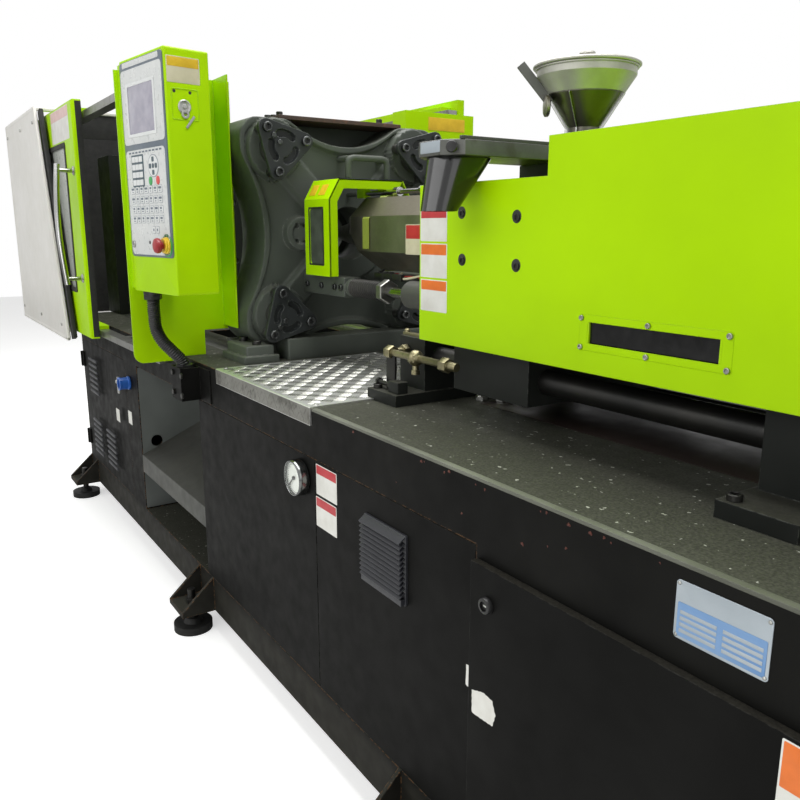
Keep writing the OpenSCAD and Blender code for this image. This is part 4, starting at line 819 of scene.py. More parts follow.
class MACHINE_OT_operator_panel(bpy.types.Operator):
    """Operator panel with foil, keys, display, stop button and its side plate"""
    bl_idname = "machine.operator_panel"
    bl_label = "Operator panel"

    def execute(self, context):
        mid = PAN_WIDE / 2
        shell = at(slab(mid, 313.5, 7, PAN_DEEP, 3.5), PAN_O + mid * PAN_U - PAN_DEEP * PAN_W + (0, 0, 1384.5), PAN_U)
        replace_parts(put("panel_shell", shell, "lime_panel_coat", "green_paint"), "panel_box")
        foil = tile((132, 259.5, 12, FOIL, 1), mid, 1430.5, 0)
        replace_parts(panel_piece("panel_surround", foil, "panel_foil_slate"), "panel_face")
        white = [tile((126, 97, 13, 1.2, 0.5), mid, 1571, FOIL), tile((122, 141, 15, 1.2, 0.5), 138, 1318, FOIL),
                 tile((112, 7, 3, 0.8, 0.3), mid, 1681, FOIL)]
        panel_piece("panel_white_fields", join(*white), "panel_foil_white")
        bezel = at(ring_plate(88, 70, 5, (0, 0, 79, 61.5, 2), 2.4), **panel(135, 1562, 4.1))
        panel_piece("display_bezel", bezel, "key_foil_pale")
        panel_piece("display", tile((80, 62.5, 2, 0.8, 0.2), 135, 1562, KEY), "display_glass")
        self.membrane()
        self.switches()
        self.side_face()
        return {"FINISHED"}

    def membrane(self):
        """Number block, round arrow pad, four rows of membrane keys with their marks, and two single keys."""
        slate = [tile((6.5, 2.2, 1, 0.8, 0.3), 44 + 21.3 * k, 1452, KEY) for k in range(10)]
        teal = [tile((38, 43, 4, 0.9, 0.3), 89, 1403, KEY)]
        pale = [tile((10, 7.4, 2, 1.6, 0.7), 66.5 + 22.6 * i, 1372.5 + 20.4 * j, 5)
                for i in range(3) for j in range(4)]
        pad_x, pad_z, arrow = 188, 1412, 5.4
        pale.append(tile((29, 27, 27, 1.2, 0.5, 10), pad_x, pad_z, KEY))
        rims = [tile((31.5, 29.5, 29, 0.7, 0.3, 10), pad_x, pad_z, KEY)]
        for a in range(4):
            dx, dz = 18 * math.cos(a * math.pi / 2), 17 * math.sin(a * math.pi / 2)
            teal.append(tile((6.4, 6.4, 3, 1, 0.4), pad_x + dx, pad_z + dz, arrow))
        teal.append(tile((6.5, 6.5, 6.5, 1, 0.4), pad_x, pad_z, arrow))
        for z in (1352, 1325.5, 1299, 1273):
            for k in range(7):
                x = 49 + 28.6 * k
                wide, small = (k * 7 + int(z)) % 3, (k * 5 + int(z)) % 2
                pale.append(tile((10.6, 9, 2.5, 1.5, 0.6), x, z, KEY))
                rims.append(tile((11.8, 10.2, 3, 0.5, 0.2), x, z, KEY))
                slate.append(tile((5.0 + 1.6 * wide, 2.9, 1, 0.5, 0.2), x, z + 3.2, KEY_TOP))
                slate.append(tile((3.2 + 1.8 * small, 1.2, 0.8, 0.5, 0.2), x, z - 4.4, KEY_TOP))
        for x in (168, 191):
            pale.append(tile((8.5, 8.5, 2, 1.5, 0.6), x, 1245, KEY))
            rims.append(tile((9.7, 9.7, 2.5, 0.5, 0.2), x, 1245, KEY))
            slate.append(tile((3.4, 3.4, 1, 0.5, 0.2), x, 1245, KEY_TOP))
        panel_piece("pale_keys", join(*pale), "key_foil_pale")
        panel_piece("teal_keys", join(*teal), "key_foil_teal")
        panel_piece("key_marks", join(*slate), "panel_foil_slate")
        panel_piece("key_rims", join(*rims), "key_foil_grey")
        panel_piece("start_key", tile((10, 11.5, 10, 1.6, 0.7), 166, 1374, KEY), "key_green")
        panel_piece("halt_key", tile((10, 11.5, 10, 1.6, 0.7), 211, 1374, KEY), "key_red")

    def switches(self):
        """Key switch, small socket and the stop button with its ring and collar; the key slot and the socket's opening
        are dark tiles of painted shade.
        """
        lock = lathe([(0, 0), (10, 0), (10, 2), (8.6, 3.4), (7, 3.4), (6.4, 2.2), (0, 2.2)], 32)
        panel_piece("key_switch", at(lock, **panel(30, 1205, KEY)), "zinc_screw")
        dark = [tile((4.5, 0.9, 0.8, 0.5, 0.2), 30, 1205, 6.4), tile((5, 5, 5, 0.7, 0.3), 135, 1211, KEY)]
        panel_piece("switch_slot_shades", join(*dark), "dial_black_and_hole_shade")
        stop_x, stop_z = 240, 1204
        ring = lathe([(0, 0), (31, 0), (31, 0.8), (30.4, 1.2), (0, 1.2)], 48)
        panel_piece("stop_ring", at(ring, **panel(stop_x, stop_z, FOIL)), "key_green")
        collar = lathe([(9.2, 0), (22, 0), (22, 5), (20, 7), (20, 12), (18.5, 14), (9.2, 14), (9.2, 0)], 40)
        panel_piece("stop_collar", at(collar, **panel(stop_x, stop_z, FOIL)), "moulded_yellow")
        cap = lathe([(0, 11), (9, 11), (9, 25), (17, 25), (19.4, 26.5), (20, 29), (20, 33), (18.6, 37), (14, 39.4),
                     (7, 40), (0, 40)], 40)
        cap = put("stop_cap", at(cap, **panel(stop_x, stop_z)), "moulded_red", "red_plastic", body="stop_button")
        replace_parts(cap, "e_stop")

    def side_face(self):
        """Label, embossed field, ring and hung key on the panel's side."""
        label("panel_side_label", panel_side(50, 1644), 92, 64, "sticker_yellow", "machine", "sticker_cream", 0.42)
        rim = ring_plate(38, 39, 5, (0, 0, 35.5, 36.5, 4), 1.4)
        put("side_emboss", at(rim, **panel_side(51, 1561)), "lime_panel_coat", "green_paint")
        knob = lathe([(0, 0), (18, 0), (18, 2), (15, 3.2), (13, 2.2), (6, 2.2), (5, 6), (0, 6.4)], 32)
        put("side_ring", at(knob, **panel_side(48, 1555)), *ZINC)
        # Two dark discs that paint the shade inside holes in the side
        put("side_hole_shades", many(disc(4, 0.4, 0.1), [panel_side(22, 1592), panel_side(66, 1591)]), *HOLE_SHADE)
        c, s = math.cos(math.radians(-38)), math.sin(math.radians(-38))
        up = np.array([0, 0, 1])
        blade = at(slab(3.2, 19, 1.5, 1.6, 0.4), panel_side(62, 1518, 2)["origin"],
                   -PAN_W * c + up * s, PAN_W * s + up * c)
        bow = at(washer(11, 5, 1.8), **panel_side(49, 1537, 2))
        put("side_key", join(blade, bow), *ZINC)


class MACHINE_OT_conduit(bpy.types.Operator):
    """Ribbed conduit from the panel's gland to the bracket on the bed"""
    bl_idname = "machine.conduit"
    bl_label = "Conduit"

    def execute(self, context):
        pts = [(-167, -590, 1070.7), (-167, -590, 1010), (-163, -588, 960), (-146, -577, 925), (-126, -556, 896),
               (-118, -534, 868), (-117, -525, 836), (-117, -524, 800)]
        path = smooth_path(pts, 400)
        run = np.concatenate([[0], np.cumsum(np.linalg.norm(np.diff(path, axis=0), axis=1))])
        r = 17.8 + 1.0 * np.cos(2 * np.pi * run / (context.scene.machine_sizes.conduit_pitch / MM))
        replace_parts(put("ribbed_conduit", tube(path, r, 20, (1, 0.2, 0)), *MOULDED, 50), "panel_hose")
        gland = lathe([(0, 0), (19, 0), (23, 2), (23, 14), (26, 16), (26, 24), (24, 26), (0, 26)], 32, six=(2, 3))
        put("panel_gland", at(gland, **on_top(-167, -590, 1044.8)), *MOULDED)
        bolts = many(hex_bolt(9, 6), [front(x, -553, z) for x in (-60, -140) for z in (831, 772)])
        put("bracket_bolts", bolts, *BLACK_STEEL)
        put("bracket_gland", at(pipe_nut(24, 12, 3), **on_top(-117, -524, 845)), *MOULDED)
        return {"FINISHED"}


class MACHINE_OT_bed_front(bpy.types.Operator):
    """Gauge, louvres, lock, plates and stickers on the bed's operator side"""
    bl_idname = "machine.bed_front"
    bl_label = "Bed front"

    def execute(self, context):
        self.gauge()
        self.vent()
        body = lathe([(0, -12), (5, -12), (5, 0), (14, 0), (14, 6), (12.6, 8.4), (10, 9), (8.4, 9), (8.2, 5), (0, 5)],
                     36, six=(8, 9))
        body = put("lock_body", at(body, **front(1264, -505.3, 664)), "moulded_black", "zinc_plate", body="lock")
        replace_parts(body, "door_lock")
        put("lock_insert", at(slab(4, 1.6, 1, 1, 0.3), **front(1264, -510.3, 664)), *ZINC, body="lock")
        label("bed_label_low", front(697, BED_FRONT, 629), 94, 70, "sticker_red", "machine")
        label("bed_label_high", front(700, BED_FRONT, 705), 94, 70, "sticker_red", "machine")
        self.name_plate()
        self.torn_stickers()
        label("door_label", front(1803, DOOR_FRONT, 654), 104, 132, "sticker_orange", "pump_door", share=0.45)
        return {"FINISHED"}

    def gauge(self):
        """Case, card, scale and glass of the pressure gauge."""
        x, z, card = 583, 691, 19.6
        face = front(x, BED_FRONT, z)
        case = lathe([(0, 0), (40, 0), (43, 3), (43, 20), (42, 25), (40.5, 27.6), (38.6, 28), (38, 26.5), (38, 19),
                      (0, 19)], 64)
        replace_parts(put("gauge_case", at(case, **face), "gauge_chrome", "gauge_metal"), "pressure_gauge")
        dial = lathe([(0, 19), (37.6, 19), (37.6, card), (0, card)], 48)
        put("gauge_card", at(dial, **face), "dial_card", "gauge_metal")
        marks = []
        for k in range(31):
            a = math.radians(225 - 9 * k)
            c, s = math.cos(a), math.sin(a)
            long, half = (5, 0.7) if k % 5 == 0 else (2.6, 0.4)
            r = 33 - long / 2
            marks.append(at(slab(long / 2, half, 0.2, 0.3, 0.1), (x + r * c, BED_FRONT - card, z + r * s),
                            (c, 0, s), (-s, 0, c)))
        marks.append(at(washer(35, 34.2, 0.3), **front(x, BED_FRONT - card, z)))
        put("gauge_marks", join(*marks), "dial_black_and_hole_shade", "gauge_metal")
        lens = lathe([(0, 26.2), (38, 26.2), (38, 27), (25, 27.7), (0, 28)], 48)
        put("gauge_lens", at(lens, **face), "clear_dial_glass", "gauge_metal")

    def vent(self):
        """Vent grille with leaning open slats."""
        x, right, tilt = 941.5, (1, 0, 0), math.radians(52)
        lean = (0, math.sin(tilt), math.cos(tilt))
        back = at(slab(75.5, 71, 4, 5, 1), **front(x, BED_FRONT, 622))
        slats = [at(slab(73, 8.4, 1, 2.4, 0.8), (x, -501.5, 572 + 10 * k), right, lean) for k in range(11)]
        slats.append(at(slab(73, 10, 1, 3, 0.8), (x, -501, 683.5), right, lean))
        slats.append(at(slab(73, 6.5, 1, 9, 0.8), **front(x, -496, 559.5)))
        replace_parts(put("louvre", join(back, *slats), "vent_plastic", "black_plastic"), "vent_grille")

    def name_plate(self):
        """Blank name plate with its empty rows and rivets."""
        x, z, face = 1659, 801, -492.2
        put("name_plate", at(slab(62, 38, 5, 1.2, 0.4), **front(x, BED_FRONT, z)), "etched_aluminium", "zinc_plate")
        field = at(slab(58, 22, 2, 0.5, 0.2), **front(x, face, 789))
        put("name_plate_field", field, "printed_blue_plate", "zinc_plate")
        rows = many(slab(25, 2.4, 0.5, 0.3, 0.1),
                    [front(x + dx, -492.7, row) for dx in (-29, 29) for row in (799, 791, 783, 775)])
        put("name_plate_rows", rows, "etched_aluminium", "zinc_plate")
        rivets = many(lathe([(0, 0), (2.6, 0), (2.2, 1), (1.2, 1.6), (0, 1.8)], 16),
                      [front(x + dx, face, z + dz) for dx in (-58, 58) for dz in (-33.5, 33.5)])
        put("name_plate_rivets", rivets, *ZINC)

    def torn_stickers(self):
        """Remains of two torn stickers: ragged outlines with a slight curl."""
        ang = turns(96)
        curl = lambda u, v: 0.5 + 0.25 * np.sin(u / 9.0) * np.sin(v / 7.0 + 0.7)
        for name, corners, rag, place, body in (
                ("torn_sticker", [(-30, 15), (-29, -27), (24, -23), (31, 0), (22, 22), (-1, 25)],
                 0.5 * np.sin(17 * ang + 1), front(1260, DOOR_FRONT, 481), "pump_door"),
                ("torn_strip", [(-8, 20), (-8.5, -19), (3, -21), (8.5, -18), (8.5, 21)],
                 0.3 * np.sin(13 * ang), front(1204.5, BED_FRONT, 502), "machine")):
            sheet = field_plate(polygon_radius(corners, ang) + rag, curl, 14, 0, 0.2)
            put(name, at(sheet, **place), "sticker_white", "black_paint", body=body)


class MACHINE_OT_tread(bpy.types.Operator):
    """Five-bar tread sheet on the deck with its folded front edge"""
    bl_idname = "machine.tread"
    bl_label = "Tread plate"

    def execute(self, context):
        line = bent([(35, TREAD_TOP), (TREAD_FRONT, TREAD_TOP), (TREAD_FRONT, 823)], 5, 7)
        sheet = at(folded(line, 4, TREAD_LEFT, 636), **facing_x(0, 0, 0))
        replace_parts(put("tread_sheet", sheet, "tread_aluminium", "tread_aluminium", 60), "tread_plate")
        pitch = context.scene.machine_sizes.bar_pitch / MM
        ga, gt = np.meshgrid(np.linspace(-1, 1, 9), np.linspace(-1, 1, 5), indexing="ij")
        wide = 2.0 * np.sqrt(np.clip(1 - ga ** 2, 0.02, 1)) * gt
        high = 1.5 * (1 - ga ** 2) ** 0.5 * (1 - gt ** 2) - 0.05
        bar = (np.stack([ga * 14, wide, high], -1).reshape(-1, 3), grid(9, 5, False))
        bars, diag = [], 0.707
        for i in range(int(560 / pitch)):
            for j in range(int(520 / pitch)):
                lean = 1 if (i + j) % 2 else -1
                u, v = (diag, lean * diag, 0), (-lean * diag, diag, 0)
                mid = np.array([TREAD_LEFT + 14 + pitch * (i + 0.5), TREAD_FRONT + 12 + pitch * (j + 0.5), TREAD_TOP])
                bars += [at(bar, mid + (k - 2) * 5.6 * np.array(v), u, v) for k in range(5)]
        put("tread_bars", join(*bars), "tread_bar_aluminium", "tread_aluminium", 60, merge=False)
        fold = at(slab(287.5, 19.5, 2, 0.5, 0.2), **front(347.5, TREAD_FRONT, 843.5))
        put("tread_fold", fold, "tread_fold_aluminium", "tread_aluminium")
        ribs = []
        for k in range(46):
            turn = math.radians(45 if (k // 2 + k) % 2 else -45)
            c, s = math.cos(turn), math.sin(turn)
            ribs.append(at(slab(9, 1.7, 1.5, 0.8, 0.4), (72 + 12 * k, TREAD_FRONT - 0.5, 836 + 15 * (k % 2)),
                           (c, 0, s), (-s, 0, c)))
        put("tread_fold_bars", join(*ribs), "tread_fold_aluminium", "tread_aluminium", 60)
        heads = many(cap_screw(6, 2.5), [on_top(x, y, TREAD_TOP) for x in (75, 620) for y in (-470, -225, 20)])
        put("tread_screws", heads, *ZINC)
        return {"FINISHED"}


def platen_reach(ang):
    """Ray length from the platen's middle to its outline: straight edges bitten by four arcs."""
    r = np.linspace(0, 480, 1921)[None]
    y, z = r * np.cos(ang)[:, None], r * np.sin(ang)[:, None]
    arc = lambda d, rad, deep: np.clip(np.sqrt(np.clip(rad ** 2 - d ** 2, 0, None)) - (rad - deep), 0, None)
    inside = ((np.abs(y) <= 346 - arc(z, 420, 66)) & (z >= -330 + arc(y, 420, 40))
              & (z <= 330 - arc(y, 300, 70)) & (r <= 452))
    return r[0][np.argmin(inside, axis=1) - 1]


def platen_height(y, z, reach):
    """Front of the casting: a base plane raised by diagonal ribs, a ring, four bosses, two discs and
    an outer wall, each with a smooth flank, the highest one winning, then eight small holes sunk in."""
    rad = np.hypot(y, z)
    lift = 26 * step(147 - rad, 10)
    for across in (y - z, y + z):
        lift = np.maximum(lift, 22 * step(42 - np.abs(across) / 2 ** 0.5, 16) * step(330 - rad, 20))
    for a, b in TIES:
        lift = np.maximum(lift, 30 * step(86 - np.hypot(y - a, z - b), 8))
    for a in (-DISC_Y, DISC_Y):
        off = np.hypot(y - a, z)
        lift = np.maximum(lift, 24 * step(51 - off, 5) - 6 * step(30 - off, 4))
    lift = np.maximum(lift, 13 * step(rad - reach + 22, 12))
    for a, b in [(s * DISC_Y + p, q) for s in (-1, 1) for p in (-14, 14) for q in (-24, 24)]:
        lift = lift - 8 * step(6.5 - np.hypot(y - a, z - b), 2.5)
    return -70 + lift


def retainer_outline(turn):
    """Outline of a three-cornered plate: arcs of radius 24 about corners 72 from the middle, joined by lines."""
    pts = []
    for k in range(3):
        a = math.radians(turn + 120 * k)
        c = RETAINER_R * np.array([math.cos(a), math.sin(a)])
        arc = np.linspace(a - np.pi / 3, a + np.pi / 3, 16)
        pts.append(c + 24 * np.stack([np.cos(arc), np.sin(arc)], -1))
    edge = [np.linspace(pts[k][-1], pts[(k + 1) % 3][0], 26)[1:-1] for k in range(3)]
    return np.concatenate([p for k in range(3) for p in (pts[k], edge[k])])


def retainer_height(u, v, turn):
    """Front of a retainer plate: flat, with three round-ended slots sunk along a circle between its corners."""
    h = np.full_like(u, RETAINER_T)
    for k in range(3):
        mid = math.radians(turn + 60 + 120 * k)
        da = (np.arctan2(v, u) - mid + np.pi) % (2 * np.pi) - np.pi
        da = np.clip(da, -0.56, 0.56)
        h -= 12.5 * step(9.5 - np.hypot(u - 38 * np.cos(mid + da), v - 38 * np.sin(mid + da)), 3.0)
    return h


class MACHINE_OT_platen(bpy.types.Operator):
    """Fixed platen casting with retainer plates, spacers, bolts, sole, blocks and top bar"""
    bl_idname = "machine.platen"
    bl_label = "Fixed platen"

    def execute(self, context):
        self.casting()
        self.retainers()
        self.top()
        feet = many(cap_screw(14, 12), [on_top(x, y, 912) for x in (-110, -10) for y in (-BLOCK_Y, BLOCK_Y)])
        put("block_screws", feet, *BLACK_STEEL)
        return {"FINISHED"}

    def casting(self):
        """Waisted casting as rings from the bore over the front to the outline and the back, with its sole."""
        n, bore, seat, back = 288, 62.5, 82, -230
        ang = turns(n)
        reach = platen_reach(ang)
        reach = (reach + np.roll(reach, 1) + np.roll(reach, -1)) / 3
        c, s = np.cos(ang), np.sin(ang)
        ring = lambda r, x: np.stack([r * c, r * s, np.broadcast_to(np.array(x, float), (n,))], -1)
        flat = np.where(np.abs(reach * c) > 298, back + 0.8, back)
        rows = [ring(bore, back), ring(bore, -190), ring(80, -190), ring(80, -47), ring(seat, -44)]
        for f in np.linspace(0.02, 1, 120):
            r = seat + f * (reach - 4 - seat)
            rows.append(ring(r, platen_height(r * c, r * s, reach)))
        top = rows[-1][:, 2]
        rows += [ring(reach - 1.2, top - 1.2), ring(reach, top - 4), ring(reach, flat + 4), ring(reach - 4, flat),
                 ring(bore, back)]
        parts = [at((np.concatenate(rows), grid(len(rows), n)), **facing_x(0, 0, AXIS_Z)),
                 at(slab(45, 250, 6, 64, 5), **on_top(-25, 0, DECK)),
                 at(slab(20, 250, 2, 100, 2), **on_top(-210, 0, 1463.8))]
        for side in (-1, 1):
            parts += [at(slab(80, 75, 5, 46, 4), **on_top(-150, side * 271, DECK)),
                      at(slab(90, 56, 6, 22, 3), **on_top(-60, side * BLOCK_Y, DECK)),
                      at(slab(78, 44, 6, 51, 5), **on_top(-60, side * BLOCK_Y, DECK))]
        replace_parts(put("platen_casting", join(*parts), "black_cast_iron_painted_light", "black_paint", 40), "fixed_platen")
        # Dark discs that paint the shade inside the tapped holes of the mould face
        holes = many(disc(9, 0.4, 0.1), [facing_back(back, y, AXIS_Z + z)
                                         for y in (-175, 175) for z in (-175, -70, 70, 175)])
        put("mould_holes", holes, "dial_black_and_hole_shade", "black_paint")

    def retainers(self):
        """Three-cornered retainer plates over the tie bars with spacers, screws and their dark sockets."""
        plates, heads, cores, spacers, small = [], [], [], [], []
        for y, z in TIES:
            turn = math.degrees(math.atan2(np.sign(z), np.sign(y)))
            z += AXIS_Z
            rad = polar_radius(retainer_outline(turn), turns(144))
            plate = field_plate(rad, lambda u, v: retainer_height(u, v, turn), 56, 0, 1.6)
            plates.append(at(plate, **facing_x(0, y, z)))
            for k in range(3):
                a = math.radians(turn + 120 * k)
                py, pz = y + RETAINER_R * math.cos(a), z + RETAINER_R * math.sin(a)
                heads.append(at(cap_screw(13.5, 13), **facing_x(RETAINER_T, py, pz)))
                spacers.append(at(rod(15, 39.6), **facing_x(-40, py, pz)))
                cores.append(at(disc(5.6, 0.3, 0.1), **facing_x(19.2, py, pz)))
            a = math.radians(turn)
            small += [at(hex_bolt(8, 6), **facing_x(RETAINER_T, y + d * math.cos(a), z + d * math.sin(a)))
                      for d in (17, 43)]
        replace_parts(put("retainers", join(*plates), "phosphated_plate", "dark_steel", 30), "retainer_plates")
        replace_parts(put("retainer_heads", join(*heads, *small), "oily_grey_screw", "zinc_plate"), "retainer_bolts")
        put("retainer_spacers", join(*spacers), "ground_steel", "zinc_plate")
        put("socket_shadows", join(*cores), "dial_black_and_hole_shade", "zinc_plate")

    def top(self):
        """Flat bar on the platen's top with its bolts, and the lifting bail."""
        bar = put("top_bar", at(slab(80, 215, 3, 12, 1.5), **on_top(-150, 0, 1564)), "rusty_flat_bar", "rusty_plate")
        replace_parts(bar, "top_plate")
        bolts = many(hex_bolt(11, 15), [on_top(x, y, BAR_TOP) for x, y in ((-205, -190), (-120, -190), (-100, 150))])
        put("top_bar_bolts", bolts, *BLACK_STEEL)
        tops = many(cap_screw(9, 9), [on_top(-150, y, BAR_TOP) for y in (-196, -160, 150, 196)])
        put("top_bar_screws", tops, *BLACK_STEEL)
        x, ends = -16, (-15, 125)
        loop = bent([(x, ends[0], 1400), (x, ends[0], 1460), (x, ends[1], 1460), (x, ends[1], 1400)], 22, 7)
        arms = [tube(np.array([(-68, y, 1458), (-40, y, 1458), (x, y, 1457)], float), 9.5, 16) for y in ends]
        bail = put("lifting_bail", join(tube(loop, 10, 16, (1, 0, 0)), *arms), "black_cast_iron_painted_light", "black_paint", 50)
        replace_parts(bail, "lift_bail")


class MACHINE_OT_purge_guard(bpy.types.Operator):
    """Folded purge guard with its framed window and plain label plates"""
    bl_idname = "machine.purge_guard"
    bl_label = "Purge guard"

    def execute(self, context):
        side = ring_plate(76, 107, 0.6, (-4.5, 4.5, 41.5, 78.5, 12), 3, 0.3)
        line = lambda t: np.array([(-188 + t, 1329 - 0.27 * t), (-156 + 0.575 * t, 1384 - t),
                                   (57 - 0.575 * t, 1384 - t), (89 - t, 1329 - 0.27 * t), (89 - t, 1324)])
        low = lambda t: np.concatenate([[(-188 + t, 1115.4)], line(t)[:3]])
        parts = [at(side, **front(102, -185, 1222)),
                 at(shell_strip(line(0), line(3), 26, 178), **facing_x(0, 0, 0)),
                 at(shell_strip(low(0), low(26), 175, 178), **facing_x(0, 0, 0)),
                 at(slab(20, 12, 2, 43, 1), **on_top(50, 0, 1338))]
        sheet = put("guard_sheet", join(*parts), "lime_powder_coat", "green_paint", body="purge_guard")
        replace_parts(sheet, "purge_guard")
        trim = ring_plate(45, 82, 4, (0, 0, 40.5, 77.5, 4), 1.6, 0.6)
        put("guard_gasket", at(trim, **front(97.5, -188, 1226.5)), *RUBBER, body="purge_guard")
        up = np.array([0, 32, 55.0])
        up /= np.linalg.norm(up)
        for k, x in enumerate((62, 118)):
            tag = at(slab(19, 17, 2, 0.6, 0.2), (x, -172.5, 1355.5), (1, 0, 0), up)
            put("guard_label_%d" % k, tag, "sticker_yellow", "green_paint", body="purge_guard")
        heads = many(hex_bolt(7, 5), [on_top(x, y, 1384) for x in (40, 60) for y in (-7, 7)])
        put("guard_bolts", heads, *ZINC, body="purge_guard")
        return {"FINISHED"}


class MACHINE_OT_injection_side(bpy.types.Operator):
    """Labels, screws and openings on the injection cover, the openings' shade painted as dark discs, and fittings
    along the barrel
    """
    bl_idname = "machine.injection_side"
    bl_label = "Injection unit"

    def execute(self, context):
        for name, x, z, h, band in (("top", 812, 1258, 70, "sticker_red"), ("mid", 813, 1184, 70, "sticker_orange"),
                                    ("low", 814, 1112, 66, "sticker_orange")):
            label("cover_label_" + name, front(x, COVER_FRONT, z), 92, h, band, "carriage", share=0.36)
        heads = many(cap_screw(4.6, 3.6), [front(x, -290.2, z) for x in (1232, 1367, 1505) for z in (1105.5, 1057.5)])
        put("window_screws", heads, *ZINC, body="carriage")
        rim = at(ring_plate(142, 30, 5, (0, 0, 124, 17.4, 5), 0.25, 0.1), **front(1369, COVER_FRONT, 1082))
        put("window_surround", rim, "lime_even_coat", "green_paint", body="carriage")
        # Screw holes of the cover: dark discs paint the shade inside them
        holes = ((905, 1279), (1064, 1270), (908, 1189), (1066, 1184))
        dark = many(disc(12, 0.5, 0.2), [front(x, COVER_FRONT, z) for x, z in holes])
        put("cover_hole_shades", dark, *HOLE_SHADE, body="carriage")
        heads = many(cap_screw(7, 3), [front(x + 2, -290.4, z - 2) for x, z in holes])
        put("cover_hole_screws", heads, "black_oxide_steel", "zinc_plate", body="carriage")
        self.barrel()
        self.rods()
        self.wires()
        return {"FINISHED"}

    def barrel(self):
        """Strap and front rim round the eight-sided barrel cover, and a blank plate on its side."""
        flat, strap, rim = 41.4, 102, 100.5
        line = bent([(-strap, -flat), (-strap, flat), (-flat, strap), (flat, strap), (strap, flat), (strap, -flat),
                     (flat, -strap), (-flat, -strap)], 6, 5)
        band = at(folded(line, 2, 215, 249), **facing_x(0, 0, AXIS_Z))
        put("barrel_strap", band, "faded_lime_strap", "green_paint", body="carriage")
        line = bent([(-rim, 0), (-rim, flat), (-flat, rim), (flat, rim), (rim, flat), (rim, 0)], 6, 5)
        put("barrel_rim", at(folded(line, 3.4, 139, 144), **facing_x(0, 0, AXIS_Z)), *MACHINED, body="carriage")
        label("barrel_plate", front(482, -100, 1221), 110, 76, "sticker_red", "carriage", "sticker_cream", 0.5)

    def rods(self):
        """Draw rods with their anchors, ribbed sleeves and nuts, and the stop rod's ball joints."""
        collar = lathe([(0, 0), (24, 0), (26, 2), (26, 15), (24, 17), (0, 17)], 32)
        bar = lathe([(0, 0), (14, 0), (14, 515), (12, 517), (0, 517)], 32)
        anchors = [at(shape, **facing_x(x, y, ROD_Z)) for y in (-ROD_Y, ROD_Y)
                   for shape, x in ((slab(28, 28, 5, 250, 3), -48), (collar, 202))]
        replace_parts(put("rod_anchors", join(*anchors), "black_cast_iron_painted_light", "chrome_bar"), "carriage_rods")
        put("draw_rods", many(bar, [facing_x(198, y, ROD_Z) for y in (-ROD_Y, ROD_Y)]), "hard_chrome", "chrome_bar")
        screws = many(cap_screw(9, 7), [front(x, -158, ROD_Z) for x in (-20, 70, 150, 186)])
        put("anchor_screws", screws, "oily_grey_screw", "zinc_plate")
        k = np.linspace(0, 150, 170)
        wave = np.sin(2 * np.pi * k / 11)
        ribs = np.stack([24 + 2.2 * np.sign(wave) * np.abs(wave) ** 0.4, k], -1)
        sleeve = lathe(np.concatenate([[(0, 0)], ribs, [(0, 150)]]), 32)
        nut = lathe([(0, 0), (26, 0), (28, 3), (28, 23), (26, 26), (0, 26)], 36, six=(1, 2, 3, 4))
        for side, word in SIDES:
            y = side * ROD_Y
            put("rod_sleeve_" + word, at(sleeve, **facing_x(219, y, ROD_Z)), "black_oxide_steel", "chrome_bar", 50)
            put("rod_nut_" + word, at(nut, **facing_x(369, y, ROD_Z)), "ground_steel", "chrome_bar")
        for x in (239, 367):
            put("rod_ball_%d" % x, at(ball(13, 17, 28), **facing_x(x, 0, 1350)), *BRASS)

    def wires(self):
        """Clipped harness of the heater bands: five wires with a little random slack, and their terminals."""
        rng = np.random.default_rng(4)
        wires = []
        for k in range(5):
            slack = rng.normal(0, 4, (6, 3)) * [1, 0.5, 0.7]
            run = np.array([(262 + 22 * k, -60, 1130), (262 + 25 * k, -80, 1124), (340 + 20 * k, -88, 1121),
                            (430 + 18 * k, -86, 1124), (560 + 15 * k, -80, 1128), (820, -78, 1130)], float)
            wires.append(tube(smooth_path(run + slack, 60), 3.2, 8))
        put("heater_wires", join(*wires[:3]), *RUBBER, 60, body="carriage")
        put("heater_wires_red", wires[3], "moulded_red", "red_plastic", 60, body="carriage")
        put("heater_wires_pale", wires[4], "sticker_cream", "black_plastic", 60, body="carriage")
        blocks = many(slab(22, 9, 2, 14, 1), [front(290 + 46 * k, -86, 1120) for k in range(3)])
        put("terminals", blocks, *MOULDED, body="carriage")


def loft(rings):
    """Surface through rings of equal point count, each an array of points, closed at both ends."""
    ends = [np.repeat(rings[k].mean(0)[None], len(rings[0]), 0) for k in (0, -1)]
    pts = [ends[0]] + list(rings) + [ends[1]]
    return np.concatenate(pts), grid(len(pts), len(rings[0]))


def spout_ring(inset, z, n=48):
    """Ring of the drain spout at height z: a stretched circle that narrows and moves forward as it goes down."""
    ang = turns(n)
    s = (SLIDE_LOW - z) / 96.0
    r = (44 - inset) * (1 - s) + (34 - inset) * s
    y = -323 * (1 - s) - 375 * s + r * np.sin(ang) + 20 * (1 - s) * np.sign(np.sin(ang))
    return np.stack([HOPPER_X + 8 * s + r * np.cos(ang), y, np.full(n, z)], -1)


